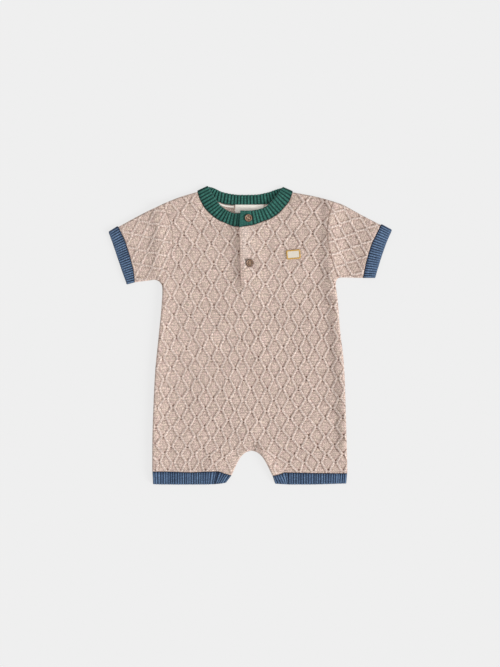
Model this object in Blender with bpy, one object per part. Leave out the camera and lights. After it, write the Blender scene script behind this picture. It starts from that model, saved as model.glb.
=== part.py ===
"""Baby romper in fine knitted cotton, laid flat on its back.

Lengths below are in millimetres and become metres when a mesh is made. +X is the wearer's left,
+Y points to the neck and +Z is up. The back rests on z = 0, the front lies on the back, and
pieces that are sewn together stand GAP apart at the seam.
"""

import math

import bmesh
import bpy
from mathutils import Matrix, Vector
from mathutils.geometry import delaunay_2d_cdt, intersect_line_line_2d

METRE = 0.001

# Cloth
WALL = 1.6          # a knitted wall
GAP = 0.3           # clearance between pieces that meet
RIM = 1.2           # width of the rolled rim of a wall
RIM_DROP = 0.8      # how far the rim falls on the upper side
UNDER_DROP = 0.5    # how far it rises on the side that rests
TRIM = 1.0          # tape, label and patch

# Heights of the layers
BACK_TOP = WALL
FRONT_BOTTOM = WALL + GAP
FRONT_TOP = FRONT_BOTTOM + WALL

# Raised lattice: ridges that travel from side to side and meet in pairs
RIDGE = 1.0         # height
RIDGE_FOOT = 1.7    # from the crest to either foot
NODE_RUN = 0.14     # half the straight run where two ridges meet, in rows

# Ribbed bands
RIB = 0.8           # height
RIB_PITCH = 3.6     # cuffs and leg bands
NECK_RIB_PITCH = 4.6
RIBS_PER_SPAN = 3   # a band's outline has a corner at every so many furrows
RIB_REACH = 0.05    # share of its length that a rib is drawn past either edge, before clipping

# Half placket: the flap on the wearer's left lies over the underlap
SLIT_TOP = (-15.8, 152.0)
SLIT_END = (-13.4, 67.0)
SLIT_WIDTH = 0.4
FLAP_RISE = 2.1     # how far the flap lies above the front
FLAP_REACH = 8.0    # x up to which the flap lies level
FLAP_FALL = 14.0    # width over which it comes down beyond that
FLAP_START = 12.0   # length over which it comes up from the slit's end
SELVEDGE = 3.6      # plain edge of the flap
UNDERLAP = [(-13.25, 80.0), (7.6, 80.0), (7.6, 153.4), (-6.0, 151.4), (-15.65, 151.4)]

# Neckband
BAND_LIFT = 2.1     # how far its free edge stands up from the front
BAND_LIFT_RUN = 24.0

# Seams and folds, (x, y), each drawn from the neck or the outer side inwards or down
SHOULDER = {
    "right": [(-73.9, 201.1), (-92.8, 195.6), (-105.4, 191.3), (-122.2, 184.3)],
    "left": [(59.2, 200.5), (86.5, 195.5), (101.9, 191.8), (116.5, 187.6)],
}
ARMHOLE = {
    "right": [(-122.2, 184.3), (-114.5, 164.0), (-109.5, 147.0), (-109.1, 131.0),
              (-111.5, 111.0), (-117.5, 93.0), (-127.0, 75.5)],
    "left": [(116.5, 187.6), (111.3, 173.0), (108.6, 156.0), (107.6, 139.5),
             (111.2, 120.0), (115.9, 101.7), (122.5, 80.5)],
}
SIDE = {
    "right": [(-127.0, 75.5), (-123.0, 66.7), (-124.5, 36.0), (-128.7, -6.0),
              (-133.4, -56.5), (-136.6, -132.0), (-137.2, -191.6)],
    "left": [(122.5, 80.5), (119.6, 72.0), (122.9, 44.0), (125.7, 6.5),
             (131.3, -43.9), (134.1, -123.7), (135.8, -192.3)],
}
SLEEVE_TOP = {
    "right": [(-122.2, 184.3), (-143.2, 174.5), (-160.0, 166.1), (-183.8, 153.5)],
    "left": [(116.5, 187.6), (129.9, 182.9), (145.3, 174.5), (160.7, 166.1), (182.4, 154.9)],
}
UNDERARM = {
    "right": [(-127.0, 75.5), (-133.0, 78.0), (-141.0, 77.3), (-161.4, 74.6)],
    "left": [(122.5, 80.5), (128.0, 82.2), (140.0, 82.1), (157.4, 80.7)],
}
CUFF_SEAM = {
    "right": [(-183.8, 153.5), (-179.0, 137.5), (-172.6, 119.9), (-167.5, 103.0),
              (-164.2, 89.1), (-161.4, 74.6)],
    "left": [(182.4, 154.9), (176.0, 142.3), (170.0, 127.0), (165.0, 111.0),
             (161.4, 97.5), (157.4, 80.7)],
}
CUFF_EDGE = {
    "right": [(-197.8, 145.8), (-191.8, 127.0), (-185.0, 107.0), (-178.6, 88.0), (-172.6, 71.6)],
    "left": [(197.8, 146.5), (191.0, 131.0), (184.6, 113.0), (179.2, 96.0), (174.7, 80.7)],
}
LEG_SEAM = {
    "right": [(-137.2, -191.6), (-91.0, -191.8), (-45.2, -189.5), (-36.0, -192.5), (-26.0, -195.4)],
    "left": [(135.8, -192.3), (91.0, -192.0), (47.5, -191.0), (39.0, -194.2), (30.7, -195.6)],
}
LEG_HEM = {
    "right": [(-136.2, -209.8), (-91.0, -209.8), (-50.0, -208.8), (-41.0, -208.2), (-34.0, -206.2)],
    "left": [(135.2, -209.8), (91.0, -209.8), (51.0, -209.2), (42.0, -208.8), (34.4, -208.0)],
}
NOTCH = {
    "right": [(-26.0, -195.4), (-19.8, -181.4), (-13.5, -170.0), (-6.0, -163.3), (1.5, -160.9)],
    "left": [(30.7, -195.6), (23.9, -181.4), (17.0, -170.0), (9.3, -163.2), (1.5, -160.9)],
}
GUSSET_SEAM = {
    "right": [(-45.2, -189.5), (-33.0, -172.5), (-23.2, -161.5), (-12.5, -154.5), (-2.4, -143.3)],
    "left": [(47.5, -191.0), (34.5, -173.5), (22.0, -162.5), (9.0, -156.0), (-2.4, -143.3)],
}
NECK_FRONT = {
    "right": [(-73.9, 201.1), (-71.0, 191.5), (-65.0, 180.0), (-56.4, 170.3), (-45.2, 161.9),
              (-34.0, 157.0), (-24.0, 152.8), SLIT_TOP],
    "left": [(59.2, 200.5), (54.7, 188.5), (47.5, 179.0), (38.9, 170.3), (27.7, 163.3),
             (16.5, 159.1), (5.3, 154.9), (-6.0, 152.9), (-15.6, 151.6)],
}
NECK_BACK = [(-73.9, 201.1), (-60.0, 193.5), (-45.2, 187.1), (-34.0, 183.6), (-20.0, 182.5),
             (-6.0, 182.5), (10.0, 183.5), (27.7, 184.5), (44.0, 191.0), (59.2, 200.5)]

# Free edge of the neckband, a point for each point of the seam that it is sewn to
BAND_FRONT = {
    "right": [(-58.5, 208.3), (-54.5, 201.0), (-48.0, 190.5), (-41.5, 182.0), (-34.5, 176.4),
              (-28.4, 173.1), (-21.0, 170.9), (-13.5, 170.3)],
    "left": [(44.5, 206.9), (39.5, 200.5), (34.5, 193.3), (26.0, 184.0), (19.0, 178.8),
             (11.0, 176.2), (2.0, 174.8), (-6.0, 174.4), (-12.2, 174.5)],
}
BAND_BACK = [(-58.5, 208.3), (-50.8, 206.4), (-42.0, 202.0), (-31.5, 199.0), (-19.0, 197.2),
             (-6.0, 196.9), (9.0, 197.3), (24.0, 200.2), (36.5, 204.4), (44.5, 206.9)]
BAND_UNDERLAP = [(6.0, 155.2), (5.0, 171.2)]    # its hidden end, seam and free edge
BAND_BARE = 14.0                                # unribbed length at its upper end
BACK_RIBS = (-44.0, 30.0)                       # x between which the back ribs are raised

# Lattice of the body. A row is half a repeat. A column is one cell wide, numbered from the middle.
# row, y at the sides, y in the middle, x of columns -4, -2, 0, 2 and 4
BODY_ROWS = [
    (0, 186.8, 186.8, -112.4, -58.0, -4.7, 48.7, 103.8),
    (2, 158.0, 158.0, -107.5, -56.6, -4.7, 47.5, 101.2),
    (4, 128.6, 129.7, -102.1, -54.4, -4.6, 46.3, 99.1),
    (6, 99.5, 100.0, -100.3, -51.6, -3.9, 44.9, 96.7),
    (8, 69.5, 72.3, -98.5, -50.8, -3.4, 44.5, 93.0),
    (10, 41.5, 41.5, -97.2, -50.2, -1.8, 45.2, 92.1),
    (14, -17.3, -17.3, -90.0, -44.3, -0.4, 45.6, 89.8),
    (18, -74.4, -74.7, -84.5, -40.4, 1.9, 44.7, 89.4),
    (20, -100.9, -106.2, -85.5, -40.8, 1.5, 42.9, 91.2),
    (22, -127.5, -134.2, -86.7, -41.7, -0.4, 42.9, 92.9),
    (24, -153.8, -162.9, -88.1, -42.6, -2.5, 46.1, 93.9),
    (26, -178.6, -182.5, -89.0, -51.0, -6.0, 54.1, 97.4),
    (28, -203.0, -203.0, -90.0, -59.0, -6.0, 61.3, 100.5),
]
TABLE_COLUMNS = (-4, -2, 0, 2, 4)
BODY_SPAN = {"rows": (-1, 28), "lines": (-14, 13)}

# Lattice of the sleeves: one node's place, the step of a row down the sleeve, the step of a column
SLEEVE_LATTICE = {
    "right": {"node": (-135.4, 135.9), "row": (-11.4, -7.5), "column": (6.1, -21.8)},
    "left": {"node": (147.8, 144.3), "row": (11.4, -5.5), "column": (-6.9, -21.9)},
}
SLEEVE_SPAN = {"rows": (-6, 7), "lines": (-8, 8)}

# Ridges of the gusset, from its seam towards the notch
GUSSET_RIDGES = [
    [(-34.5, -175.5), (-30.0, -184.0), (-24.0, -190.5)],
    [(-39.5, -184.5), (-34.5, -183.0), (-31.0, -192.0)],
    [(-22.5, -164.0), (-17.5, -170.5), (-20.0, -178.0)],
    [(-13.0, -157.5), (-14.5, -163.5), (-10.0, -166.0)],
    [(-6.0, -151.0), (-3.5, -158.5)],
    [(4.5, -153.0), (7.0, -159.5)],
    [(20.0, -165.0), (24.5, -176.5)],
    [(32.5, -174.0), (31.0, -184.0), (36.0, -192.5)],
]

BUTTONS = {"button_top": (-2.5, 164.2), "button_lower": (-0.6, 101.4)}
BUTTON_RADIUS = 5.7
BUTTON_THICK = 2.6
BUTTON_HOLE = {"radius": 0.75, "offset": 1.5}
PATCH = {"middle": (60.3, 113.5), "size": (18.9, 12.2), "turn": 5.0}
LABEL = {"middle": (-1.2, 175.7), "size": (40.2, 12.2)}
TAPES = {
    "neck_tape_right": [(-46.5, 184.9), (-40.0, 182.9), (-34.0, 181.3), (-23.2, 179.9)],
    "neck_tape_left": [(20.6, 180.4), (26.0, 181.3), (31.5, 182.9)],
}
TAPE_WIDTH = 2.6
PRESS_MARGIN = 3.0  # ridges lie flat this far round a button or the patch
NEAR_SEWN = 22.0    # distance from its middle within which the ridges get more points
SHARP_ANGLE = 25.0  # edges that turn more than this are creases
SNAP = 0.02         # points of a surface that are nearer than this become one

TAUPE = (0.62, 0.48, 0.41)
GREEN = (0.02, 0.13, 0.09)
BLUE = (0.06, 0.12, 0.24)
CREAM = (0.80, 0.76, 0.69)
MUSTARD_CREAM = (0.78, 0.66, 0.42)
HORN = (0.38, 0.22, 0.15)


# Small tools ------------------------------------------------------------------------------------

def smooth(value):
    """0 below 0, 1 above 1, with soft ends between."""
    value = min(max(value, 0.0), 1.0)
    return value * value * (3.0 - 2.0 * value)


def lerp(a, b, t):
    return tuple(p + (q - p) * t for p, q in zip(a, b))


def curve(points, steps=2):
    """A smooth curve through points, each span in so many steps."""
    points = [Vector(p) for p in points]
    padded = [2 * points[0] - points[1]] + points + [2 * points[-1] - points[-2]]
    result = []
    for a, b, c, d in zip(padded, padded[1:], padded[2:], padded[3:]):
        for step in range(steps):
            t = step / steps
            result.append(0.5 * (2 * b + (c - a) * t + (2 * a - 5 * b + 4 * c - d) * t * t
                                 + (3 * b - a - 3 * c + d) * t ** 3))
    return [tuple(p) for p in result] + [tuple(points[-1])]


def joined(*paths):
    """One closed outline from paths that each start where the last one ends."""
    return [point for path in paths for point in path[:-1]]


def inset(outline, distances):
    """The counter-clockwise outline with each edge moved in by its own distance."""
    count = len(outline)
    moved = []
    for i in range(count):
        here = Vector(outline[i])
        before = (here - Vector(outline[i - 1])).normalized()
        after = (Vector(outline[(i + 1) % count]) - here).normalized()
        in_before = Vector((-before.y, before.x))
        in_after = Vector((-after.y, after.x))
        a, b = distances[i - 1], distances[i]
        turn = before.cross(after)
        if abs(turn) < 0.05:
            moved.append(tuple(here + (in_before + in_after).normalized() * (a + b) / 2))
        else:
            moved.append(tuple(here + before * (a * before.dot(after) - b) / turn + in_before * a))
    return moved


def inside(point, outline):
    x, y = point[:2]
    odd = False
    for a, b in zip(outline, outline[1:] + outline[:1]):
        if (a[1] > y) != (b[1] > y) and x < a[0] + (y - a[1]) * (b[0] - a[0]) / (b[1] - a[1]):
            odd = not odd
    return odd


def clipped(line, outline, shortest=0.5):
    """The stretches of a line of (x, y, height) points that lie inside outline."""
    pieces = [[]]
    for a, b in zip(line, line[1:]):
        run = (Vector(b[:2]) - Vector(a[:2]))
        cuts = {0.0, 1.0}
        for c, d in zip(outline, outline[1:] + outline[:1]):
            hit = intersect_line_line_2d(Vector(a[:2]), Vector(b[:2]), Vector(c), Vector(d))
            if hit:
                cuts.add((hit - Vector(a[:2])).dot(run) / run.length_squared)
        cuts = sorted(cuts)
        for t0, t1 in zip(cuts, cuts[1:]):
            if (t1 - t0) * run.length < 0.01:
                continue
            if inside(lerp(a, b, (t0 + t1) / 2), outline):
                if not pieces[-1]:
                    pieces[-1].append(lerp(a, b, t0))
                pieces[-1].append(lerp(a, b, t1))
            elif pieces[-1]:
                pieces.append([])
    return [p for p in pieces if p and (Vector(p[0][:2]) - Vector(p[-1][:2])).length > shortest]


# Cloth made of flat-lying surfaces ---------------------------------------------------------------

class Cloth:
    """A closed wall, put together from surfaces that lie flat and the strips between them."""

    def __init__(self):
        self.mesh = bmesh.new()

    def surface(self, outline, height, rim_height=None, lines=()):
        """Adds a surface over outline. Lines of (x, y, height above it) are kept as its edges,
        and its rim lies at rim_height. Returns the vertices of the outline."""
        count = len(outline)
        points = [Vector(p) for p in outline]
        raised = [None] * count
        edges = []
        if rim_height:
            ring = inset(outline, [RIM] * count)
            edges += [(count + i, count + (i + 1) % count) for i in range(count)]
            points += [Vector(p) for p in ring]
            raised += [0.0] * count
            lines = [piece for line in lines for piece in clipped(line, ring)]
        for line in lines:
            first = len(points)
            points += [Vector(p[:2]) for p in line]
            raised += [p[2] for p in line]
            edges += [(first + i, first + i + 1) for i in range(len(line) - 1)]
        found, _, faces, sources, _, owners = delaunay_2d_cdt(
            points, edges, [list(range(count))], 0, SNAP)
        rim = [None] * count
        vertices = []
        for place, source in zip(found, sources):
            on_rim = [i for i in source if i < count]
            if on_rim:
                z = (rim_height or height)(place)
            else:
                z = height(place) + max((raised[i] for i in source), default=0.0)
            vertex = self.mesh.verts.new((place.x, place.y, z))
            vertices.append(vertex)
            for i in on_rim:
                rim[i] = vertex
        for face, owner in zip(faces, owners):
            if 0 in owner:
                self.mesh.faces.new([vertices[i] for i in face])
        return rim

    def strip(self, lower, upper):
        """Joins two closed rings of vertices."""
        for i in range(len(lower)):
            self.mesh.faces.new((lower[i - 1], lower[i], upper[i], upper[i - 1]))

    def finish(self, name, colour):
        loose = [v for v in self.mesh.verts if not v.link_faces]
        bmesh.ops.delete(self.mesh, geom=loose, context="VERTS")
        return add_object(name, self.mesh, colour)


def add_object(name, mesh, colour, roughness=0.9):
    """Makes the object of a bmesh in millimetres, with its own material."""
    bmesh.ops.recalc_face_normals(mesh, faces=mesh.faces)
    bmesh.ops.scale(mesh, vec=Vector((METRE, METRE, METRE)), verts=mesh.verts)
    data = bpy.data.meshes.new(name)
    mesh.to_mesh(data)
    mesh.free()
    data.shade_smooth()
    data.set_sharp_from_angle(angle=math.radians(SHARP_ANGLE))
    data.materials.append(add_material(name, colour, roughness))
    obj = bpy.data.objects.new(name, data)
    bpy.data.collections["Baby_Romper"].objects.link(obj)
    return obj


def add_material(name, colour, roughness):
    material = bpy.data.materials.new(name)
    material.use_nodes = True
    shader = material.node_tree.nodes["Principled BSDF"]
    shader.inputs["Base Color"].default_value = (*colour, 1.0)
    shader.inputs["Roughness"].default_value = roughness
    shader.inputs["Metallic"].default_value = 0.0
    return material


def level(z):
    return lambda place: z


def slit_x(y):
    down = (SLIT_TOP[1] - y) / (SLIT_TOP[1] - SLIT_END[1])
    return SLIT_TOP[0] + (SLIT_END[0] - SLIT_TOP[0]) * down


def rise(place):
    """How far the flap lifts the front at a place."""
    x, y = place[:2]
    if x < slit_x(y):
        return 0.0
    across = 1.0 - smooth((x - FLAP_REACH) / FLAP_FALL)
    return FLAP_RISE * across * smooth((y - SLIT_END[1]) / FLAP_START)


def wall(name, outline, colour, lines=(), under_lines=(), bottom=0.0, lift=level(0.0), rests=False):
    """A wall of cloth, relief on its upper side, over a plain underside."""
    outline = inset(outline, [GAP / 2] * len(outline))
    cloth = Cloth()
    top = cloth.surface(outline, lambda p: bottom + WALL + lift(p),
                        lambda p: bottom + WALL - RIM_DROP + lift(p), lines)
    if rests:
        under = cloth.surface(outline, level(bottom), level(bottom + UNDER_DROP))
    else:
        ring = inset(outline, [RIM] * len(outline))
        under = cloth.surface(outline, lambda p: bottom + lift(p), lines=[
            piece for line in under_lines for piece in clipped(line, ring)])
    cloth.strip(under, top)
    return cloth.finish(name, colour)


def flat_tube(name, sides, colour, lines=()):
    """Two layers of cloth that lie on each other. Each side is a path and whether the cloth is
    folded there, and it is open at the others."""
    outline = joined(*(path for path, _ in sides))
    folds = [is_fold for path, is_fold in sides for _ in path[:-1]]
    outline = inset(outline, [0.0 if is_fold else GAP / 2 for is_fold in folds])
    slot = inset(outline, [WALL if is_fold else 0.0 for is_fold in folds])
    cloth = Cloth()
    top = cloth.surface(outline, level(FRONT_TOP), level(FRONT_TOP - RIM_DROP), lines)
    ceiling = cloth.surface(slot, level(FRONT_BOTTOM))
    floor = cloth.surface(slot, level(BACK_TOP))
    under = cloth.surface(outline, level(0.0), level(UNDER_DROP))
    new_face = cloth.mesh.faces.new
    for i, is_fold in enumerate(folds):
        j = (i + 1) % len(folds)
        if is_fold:
            new_face((under[i], under[j], top[j], top[i]))
            new_face((floor[i], floor[j], ceiling[j], ceiling[i]))
        else:
            new_face((ceiling[i], ceiling[j], top[j], top[i]))
            new_face((under[i], under[j], floor[j], floor[i]))
        if is_fold != folds[j]:
            new_face((under[j], floor[j], ceiling[j], top[j]))
    return cloth.finish(name, colour)


# Relief ------------------------------------------------------------------------------------------

def body_place(row, column):
    """Where a row and a column of the body's lattice cross."""
    rows = BODY_ROWS
    low = max(i for i in range(len(rows) - 1) if rows[i][0] <= max(row, 0))
    a, b = rows[low], rows[low + 1]
    entry = lerp(a, b, (row - a[0]) / (b[0] - a[0]))
    xs = entry[3:]
    span = min(max(int((column + 4) // 2), 0), 3)
    x = lerp((xs[span],), (xs[span + 1],), (column - TABLE_COLUMNS[span]) / 2)[0]
    middle = smooth(1.0 - abs(column) / 4.0)
    return Vector((x, entry[1] + (entry[2] - entry[1]) * middle)), Vector((1.0, 0.0))


def sleeve_place(lattice):
    def place(row, column):
        across = Vector(lattice["column"])
        spot = Vector(lattice["node"]) + Vector(lattice["row"]) * row + across * column
        return spot, across.normalized()
    return place


def lattice_lines(place, rows, lines):
    """Crest and feet of every ridge. Ridge n swings between columns n/2 and n/2 + 1/2."""
    result = []
    for line in range(lines[0], lines[1] + 1):
        crest, feet = [], ([], [])
        for row in range(rows[0], rows[1] + 1):
            near = (row + line) % 2 == 0
            column = line / 2 if near else line / 2 + 0.5
            side = 1.0 if near else -1.0
            for run in (-NODE_RUN, NODE_RUN):
                node, across = place(row + run, column)
                middle = node + across * side * RIDGE_FOOT
                crest.append((*middle, RIDGE * pressed(middle)))
                for foot, way in zip(feet, (-1.0, 1.0)):
                    foot.append((*(middle + across * way * RIDGE_FOOT), 0.0))
        result += [crest, *feet]
    return result


def pressed(place):
    """How far the ridges stand: 0 on the flap's plain edge and under what is sewn on."""
    x, y = place[:2]
    if y > SLIT_END[1] and 0.0 < x - slit_x(y) < SELVEDGE:
        return 0.0
    flat = [(Vector(BUTTONS["button_lower"]), BUTTON_RADIUS + PRESS_MARGIN),
            (Vector(PATCH["middle"]), PATCH["size"][0] / 2 + PRESS_MARGIN)]
    for middle, radius in flat:
        if (Vector((x, y)) - middle).length < radius:
            return 0.0
    return 1.0


def near_sewn(place):
    sewn = [Vector(BUTTONS["button_lower"]), Vector(PATCH["middle"])]
    return any((Vector(place[:2]) - spot).length < NEAR_SEWN for spot in sewn)


def refined(lines, parts=4):
    """The same lines with more points near what is sewn on, so that they lie flat under it."""
    result = []
    for line in lines:
        finer = [line[0]]
        for a, b in zip(line, line[1:]):
            if near_sewn(lerp(a, b, 0.5)):
                for part in range(1, parts):
                    x, y, z = lerp(a, b, part / parts)
                    finer.append((x, y, z and max(z, RIDGE) * pressed((x, y))))
            finer.append(b)
        result.append(finer)
    return result


def at_fraction(path, fraction):
    """The point that far along a path, from 0 to 1."""
    points = [Vector(p) for p in path]
    lengths = [(b - a).length for a, b in zip(points, points[1:])]
    left = fraction * sum(lengths)
    for a, b, length in zip(points, points[1:], lengths):
        if left <= length or b is points[-1]:
            return a.lerp(b, left / length)
        left -= length


def spaced(path, spans):
    """The path with its points at equal distances."""
    return [tuple(at_fraction(path, i / spans)) for i in range(spans + 1)]


def rib_lines(seam, edge, ribs):
    """Crests of ribs that run from a seam to an edge, so many to a span, and their furrows."""
    lines = []
    for a, b, c, d in zip(seam, seam[1:], edge, edge[1:]):
        for step in range(2 * ribs + 1):
            height = RIB if step % 2 else 0.0
            start = Vector(lerp(a, b, step / (2 * ribs)))
            end = Vector(lerp(c, d, step / (2 * ribs)))
            reach = (end - start) * RIB_REACH
            lines.append([(*(start - reach), height), (*(end + reach), height)])
    return lines


def ridge_lines(paths):
    """Crest and feet of ridges along short paths."""
    lines = []
    for path in paths:
        points = [Vector(p) for p in path]
        normals = []
        for i in range(len(points)):
            run = (points[min(i + 1, len(points) - 1)] - points[max(i - 1, 0)]).normalized()
            normals.append(Vector((-run.y, run.x)))
        for way, height in ((0.0, RIDGE), (-0.8, 0.0), (0.8, 0.0)):
            lines.append([(*(p + n * way * RIDGE_FOOT), height) for p, n in zip(points, normals)])
    return lines


# Pieces ------------------------------------------------------------------------------------------

def body_outline(neck):
    """Outline of the front or the back, counter-clockwise from the wearer's right of the neck."""
    leg = {side: [curve(LEG_SEAM[side][:3], 1), curve(GUSSET_SEAM[side], 2)] for side in LEG_SEAM}
    return joined(
        curve(SHOULDER["right"], 1), curve(ARMHOLE["right"], 2), curve(SIDE["right"], 2),
        *leg["right"], *(path[::-1] for path in reversed(leg["left"])),
        curve(SIDE["left"], 2)[::-1], curve(ARMHOLE["left"], 2)[::-1],
        curve(SHOULDER["left"], 1)[::-1], neck)


def make_front():
    half = SLIT_WIDTH / 2
    climb = [SLIT_END[1] + FLAP_START * part for part in (1.0, 0.75, 0.5, 0.25, 0.0)]
    slit = [(slit_x(y) + half, y) for y in climb]
    slit += [(SLIT_END[0] - half, SLIT_END[1]), (SLIT_TOP[0] - half, SLIT_TOP[1])]
    neck = curve(NECK_FRONT["left"], 2) + slit + curve(NECK_FRONT["right"], 2)[-2::-1]
    lattice = lattice_lines(body_place, BODY_SPAN["rows"], BODY_SPAN["lines"])
    fall = [FLAP_REACH, FLAP_REACH + FLAP_FALL / 2, FLAP_REACH + FLAP_FALL]
    under = [[(x, climb[-1], 0.0), (x, 175.0, 0.0)] for x in fall]
    under += [[(SLIT_END[0], y, 0.0), (fall[-1], y, 0.0)] for y in climb]
    wall("front_panel", body_outline(neck), TAUPE, refined(lattice), under,
         bottom=FRONT_BOTTOM, lift=rise)


def make_back():
    wall("back_panel", body_outline(curve(NECK_BACK, 2)[::-1]), TAUPE, rests=True)


def make_underlap():
    wall("placket_underlap", UNDERLAP, TAUPE, bottom=FRONT_BOTTOM)


def make_gusset():
    seam = {side: curve(GUSSET_SEAM[side], 2) for side in GUSSET_SEAM}
    notch = {side: curve(NOTCH[side], 2) for side in NOTCH}
    sides = [(seam["right"][::-1], False), (LEG_SEAM["right"][2:], False), (notch["right"], True),
             (notch["left"][::-1], True), (LEG_SEAM["left"][:1:-1], False), (seam["left"], False)]
    flat_tube("crotch_gusset", sides, TAUPE, ridge_lines(GUSSET_RIDGES))


def make_sleeve(side):
    """The paths run counter-clockwise on the wearer's right, and backwards on the left."""
    sides = [(curve(SLEEVE_TOP[side], 1), True), (curve(CUFF_SEAM[side], 2), False),
             (curve(UNDERARM[side], 2)[::-1], True), (curve(ARMHOLE[side], 2)[::-1], False)]
    lattice = lattice_lines(sleeve_place(SLEEVE_LATTICE[side]), **SLEEVE_SPAN)
    flat_tube("sleeve_" + side, turned(sides, side), TAUPE, lattice)


def length(path):
    return sum((Vector(b) - Vector(a)).length for a, b in zip(path, path[1:]))


def make_cuff(side):
    seam, edge = curve(CUFF_SEAM[side], 4), curve(CUFF_EDGE[side], 4)
    spans = round(length(edge) / (RIB_PITCH * RIBS_PER_SPAN))
    seam, edge = spaced(seam, spans), spaced(edge, spans)
    sides = [([seam[0], edge[0]], True), (edge, False), ([edge[-1], seam[-1]], True),
             (seam[::-1], False)]
    flat_tube("cuff_" + side, turned(sides, side), BLUE, rib_lines(seam, edge, RIBS_PER_SPAN))


def make_leg_band(side):
    """The ribs stand across the leg, and lean over where the band turns up at the gusset."""
    seam, hem = LEG_SEAM[side], LEG_HEM[side]
    spans = 2 * round(length(seam[:3]) / (2 * RIB_PITCH * RIBS_PER_SPAN))
    seam = spaced(seam[:3], spans) + seam[3:]
    hem = spaced(hem[:3], spans) + hem[3:]
    sides = [([seam[0], hem[0]], True), (hem, False), ([hem[-1], seam[-1]], True),
             (seam[::-1], False)]
    flat_tube("leg_band_" + side, turned(sides, side), BLUE, rib_lines(seam, hem, RIBS_PER_SPAN))


def turned(sides, side):
    """The same sides, counter-clockwise for either side of the body."""
    if side == "right":
        return sides
    return [(path[::-1], is_fold) for path, is_fold in reversed(sides)]


def band_stretch(seam, free, pitch):
    """Seam and free points of the neckband at every half rib between two paths."""
    seam, free = curve(seam, 6), curve(free, 6)
    middle = [lerp(a, b, 0.5) for a, b in zip(seam, free)]
    lengths = [0.0]
    for a, b in zip(middle, middle[1:]):
        lengths.append(lengths[-1] + (Vector(b) - Vector(a)).length)
    count = 2 * round(lengths[-1] / pitch)
    stretch = []
    for step in range(count + 1):
        target = lengths[-1] * step / count
        i = max(k for k in range(len(lengths) - 1) if lengths[k] <= target)
        t = (target - lengths[i]) / (lengths[i + 1] - lengths[i])
        stretch.append((Vector(lerp(seam[i], seam[i + 1], t)), Vector(lerp(free[i], free[i + 1], t)),
                        target, lengths[-1] - target))
    return stretch


def band_section(seam, free, outer, inner, rounds, turn=0.0):
    """Corners of a section of the neckband: inner and outer at the seam, outer and inner at the
    free edge. outer and inner are heights at the seam and at the free edge. rounds is how far
    the outer and the inner corners draw in. turn bends it about the shoulder fold."""
    along = (free - seam).normalized()
    seam = seam + along * GAP / 2
    corners = [(seam + along * rounds[1], inner[0]), (seam + along * rounds[0], outer[0]),
               (free - along * rounds[0], outer[1]), (free - along * rounds[1], inner[1])]
    out = Vector((-along.y, along.x)) * (1.0 if along.x > 0 else -1.0)
    axis = WALL + GAP / 2
    placed = []
    for spot, z in corners:
        reach = (z - axis) * math.sin(turn)
        flat = spot + out * reach
        placed.append(Vector((flat.x, flat.y, axis + (z - axis) * math.cos(turn))))
    return placed


def front_sections(stretch, bare_from_end):
    """Sections of a front stretch, from the shoulder to its lapped end."""
    sections = []
    for step, (seam, free, run, left) in enumerate(stretch):
        lift = BAND_LIFT * smooth(run / BAND_LIFT_RUN)
        rib = RIB if step % 2 and left > bare_from_end else 0.0
        low = (FRONT_BOTTOM + rise(seam), FRONT_BOTTOM + rise(seam) + lift)
        high = (low[0] + WALL + rib, low[1] + WALL + rib)
        sections.append(band_section(seam, free, high, low, (RIM_DROP, 0.0)))
    return sections


def make_neckband():
    right = band_stretch(NECK_FRONT["right"], BAND_FRONT["right"], NECK_RIB_PITCH)
    left = band_stretch(NECK_FRONT["left"], BAND_FRONT["left"], NECK_RIB_PITCH)
    back = band_stretch(NECK_BACK, BAND_BACK, NECK_RIB_PITCH)
    low = (FRONT_BOTTOM, FRONT_BOTTOM + BAND_LIFT)
    high = (FRONT_TOP, FRONT_TOP + BAND_LIFT)
    sections = [band_section(*map(Vector, BAND_UNDERLAP), high, low, (RIM_DROP, 0.0))]
    sections += front_sections(right, 0.0)[::-1]
    sections += fold_sections(right[0], range(1, 6))
    for step, (seam, free, _, _) in enumerate(back):
        rib = RIB if step % 2 and BACK_RIBS[0] < seam.x < BACK_RIBS[1] else 0.0
        sections.append(band_section(seam, free, (0.0, 0.0), (BACK_TOP + rib,) * 2, (0.0, RIM_DROP)))
    sections += fold_sections(left[0], range(5, 0, -1))
    sections += front_sections(left, BAND_BARE)
    loft("neckband", sections, GREEN)


def fold_sections(end, steps):
    """The neckband turning over at a shoulder, from the front to the back in sixths."""
    seam, free = end[:2]
    return [band_section(seam, free, (FRONT_TOP,) * 2, (FRONT_BOTTOM,) * 2,
                         (RIM_DROP * (6 - step) / 6, RIM_DROP * step / 6), math.pi * step / 6)
            for step in steps]


def loft(name, sections, colour):
    mesh = bmesh.new()
    rings = [[mesh.verts.new(corner) for corner in section] for section in sections]
    for ring, following in zip(rings, rings[1:]):
        for i in range(len(ring)):
            mesh.faces.new((ring[i - 1], ring[i], following[i], following[i - 1]))
    mesh.faces.new(rings[0])
    mesh.faces.new(rings[-1])
    add_object(name, mesh, colour)


def make_tape(name, path):
    """A tape of flat section along a path on the back."""
    points = [Vector(p) for p in path]
    sections = []
    for i, point in enumerate(points):
        run = (points[min(i + 1, len(points) - 1)] - points[max(i - 1, 0)]).normalized()
        side = Vector((-run.y, run.x)) * TAPE_WIDTH / 2
        low, high = BACK_TOP + GAP, BACK_TOP + GAP + TRIM
        sections.append([Vector((*(point - side), low)), Vector((*(point - side * 0.6), high)),
                         Vector((*(point + side * 0.6), high)), Vector((*(point + side), low))])
    loft(name, sections, CREAM)


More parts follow.
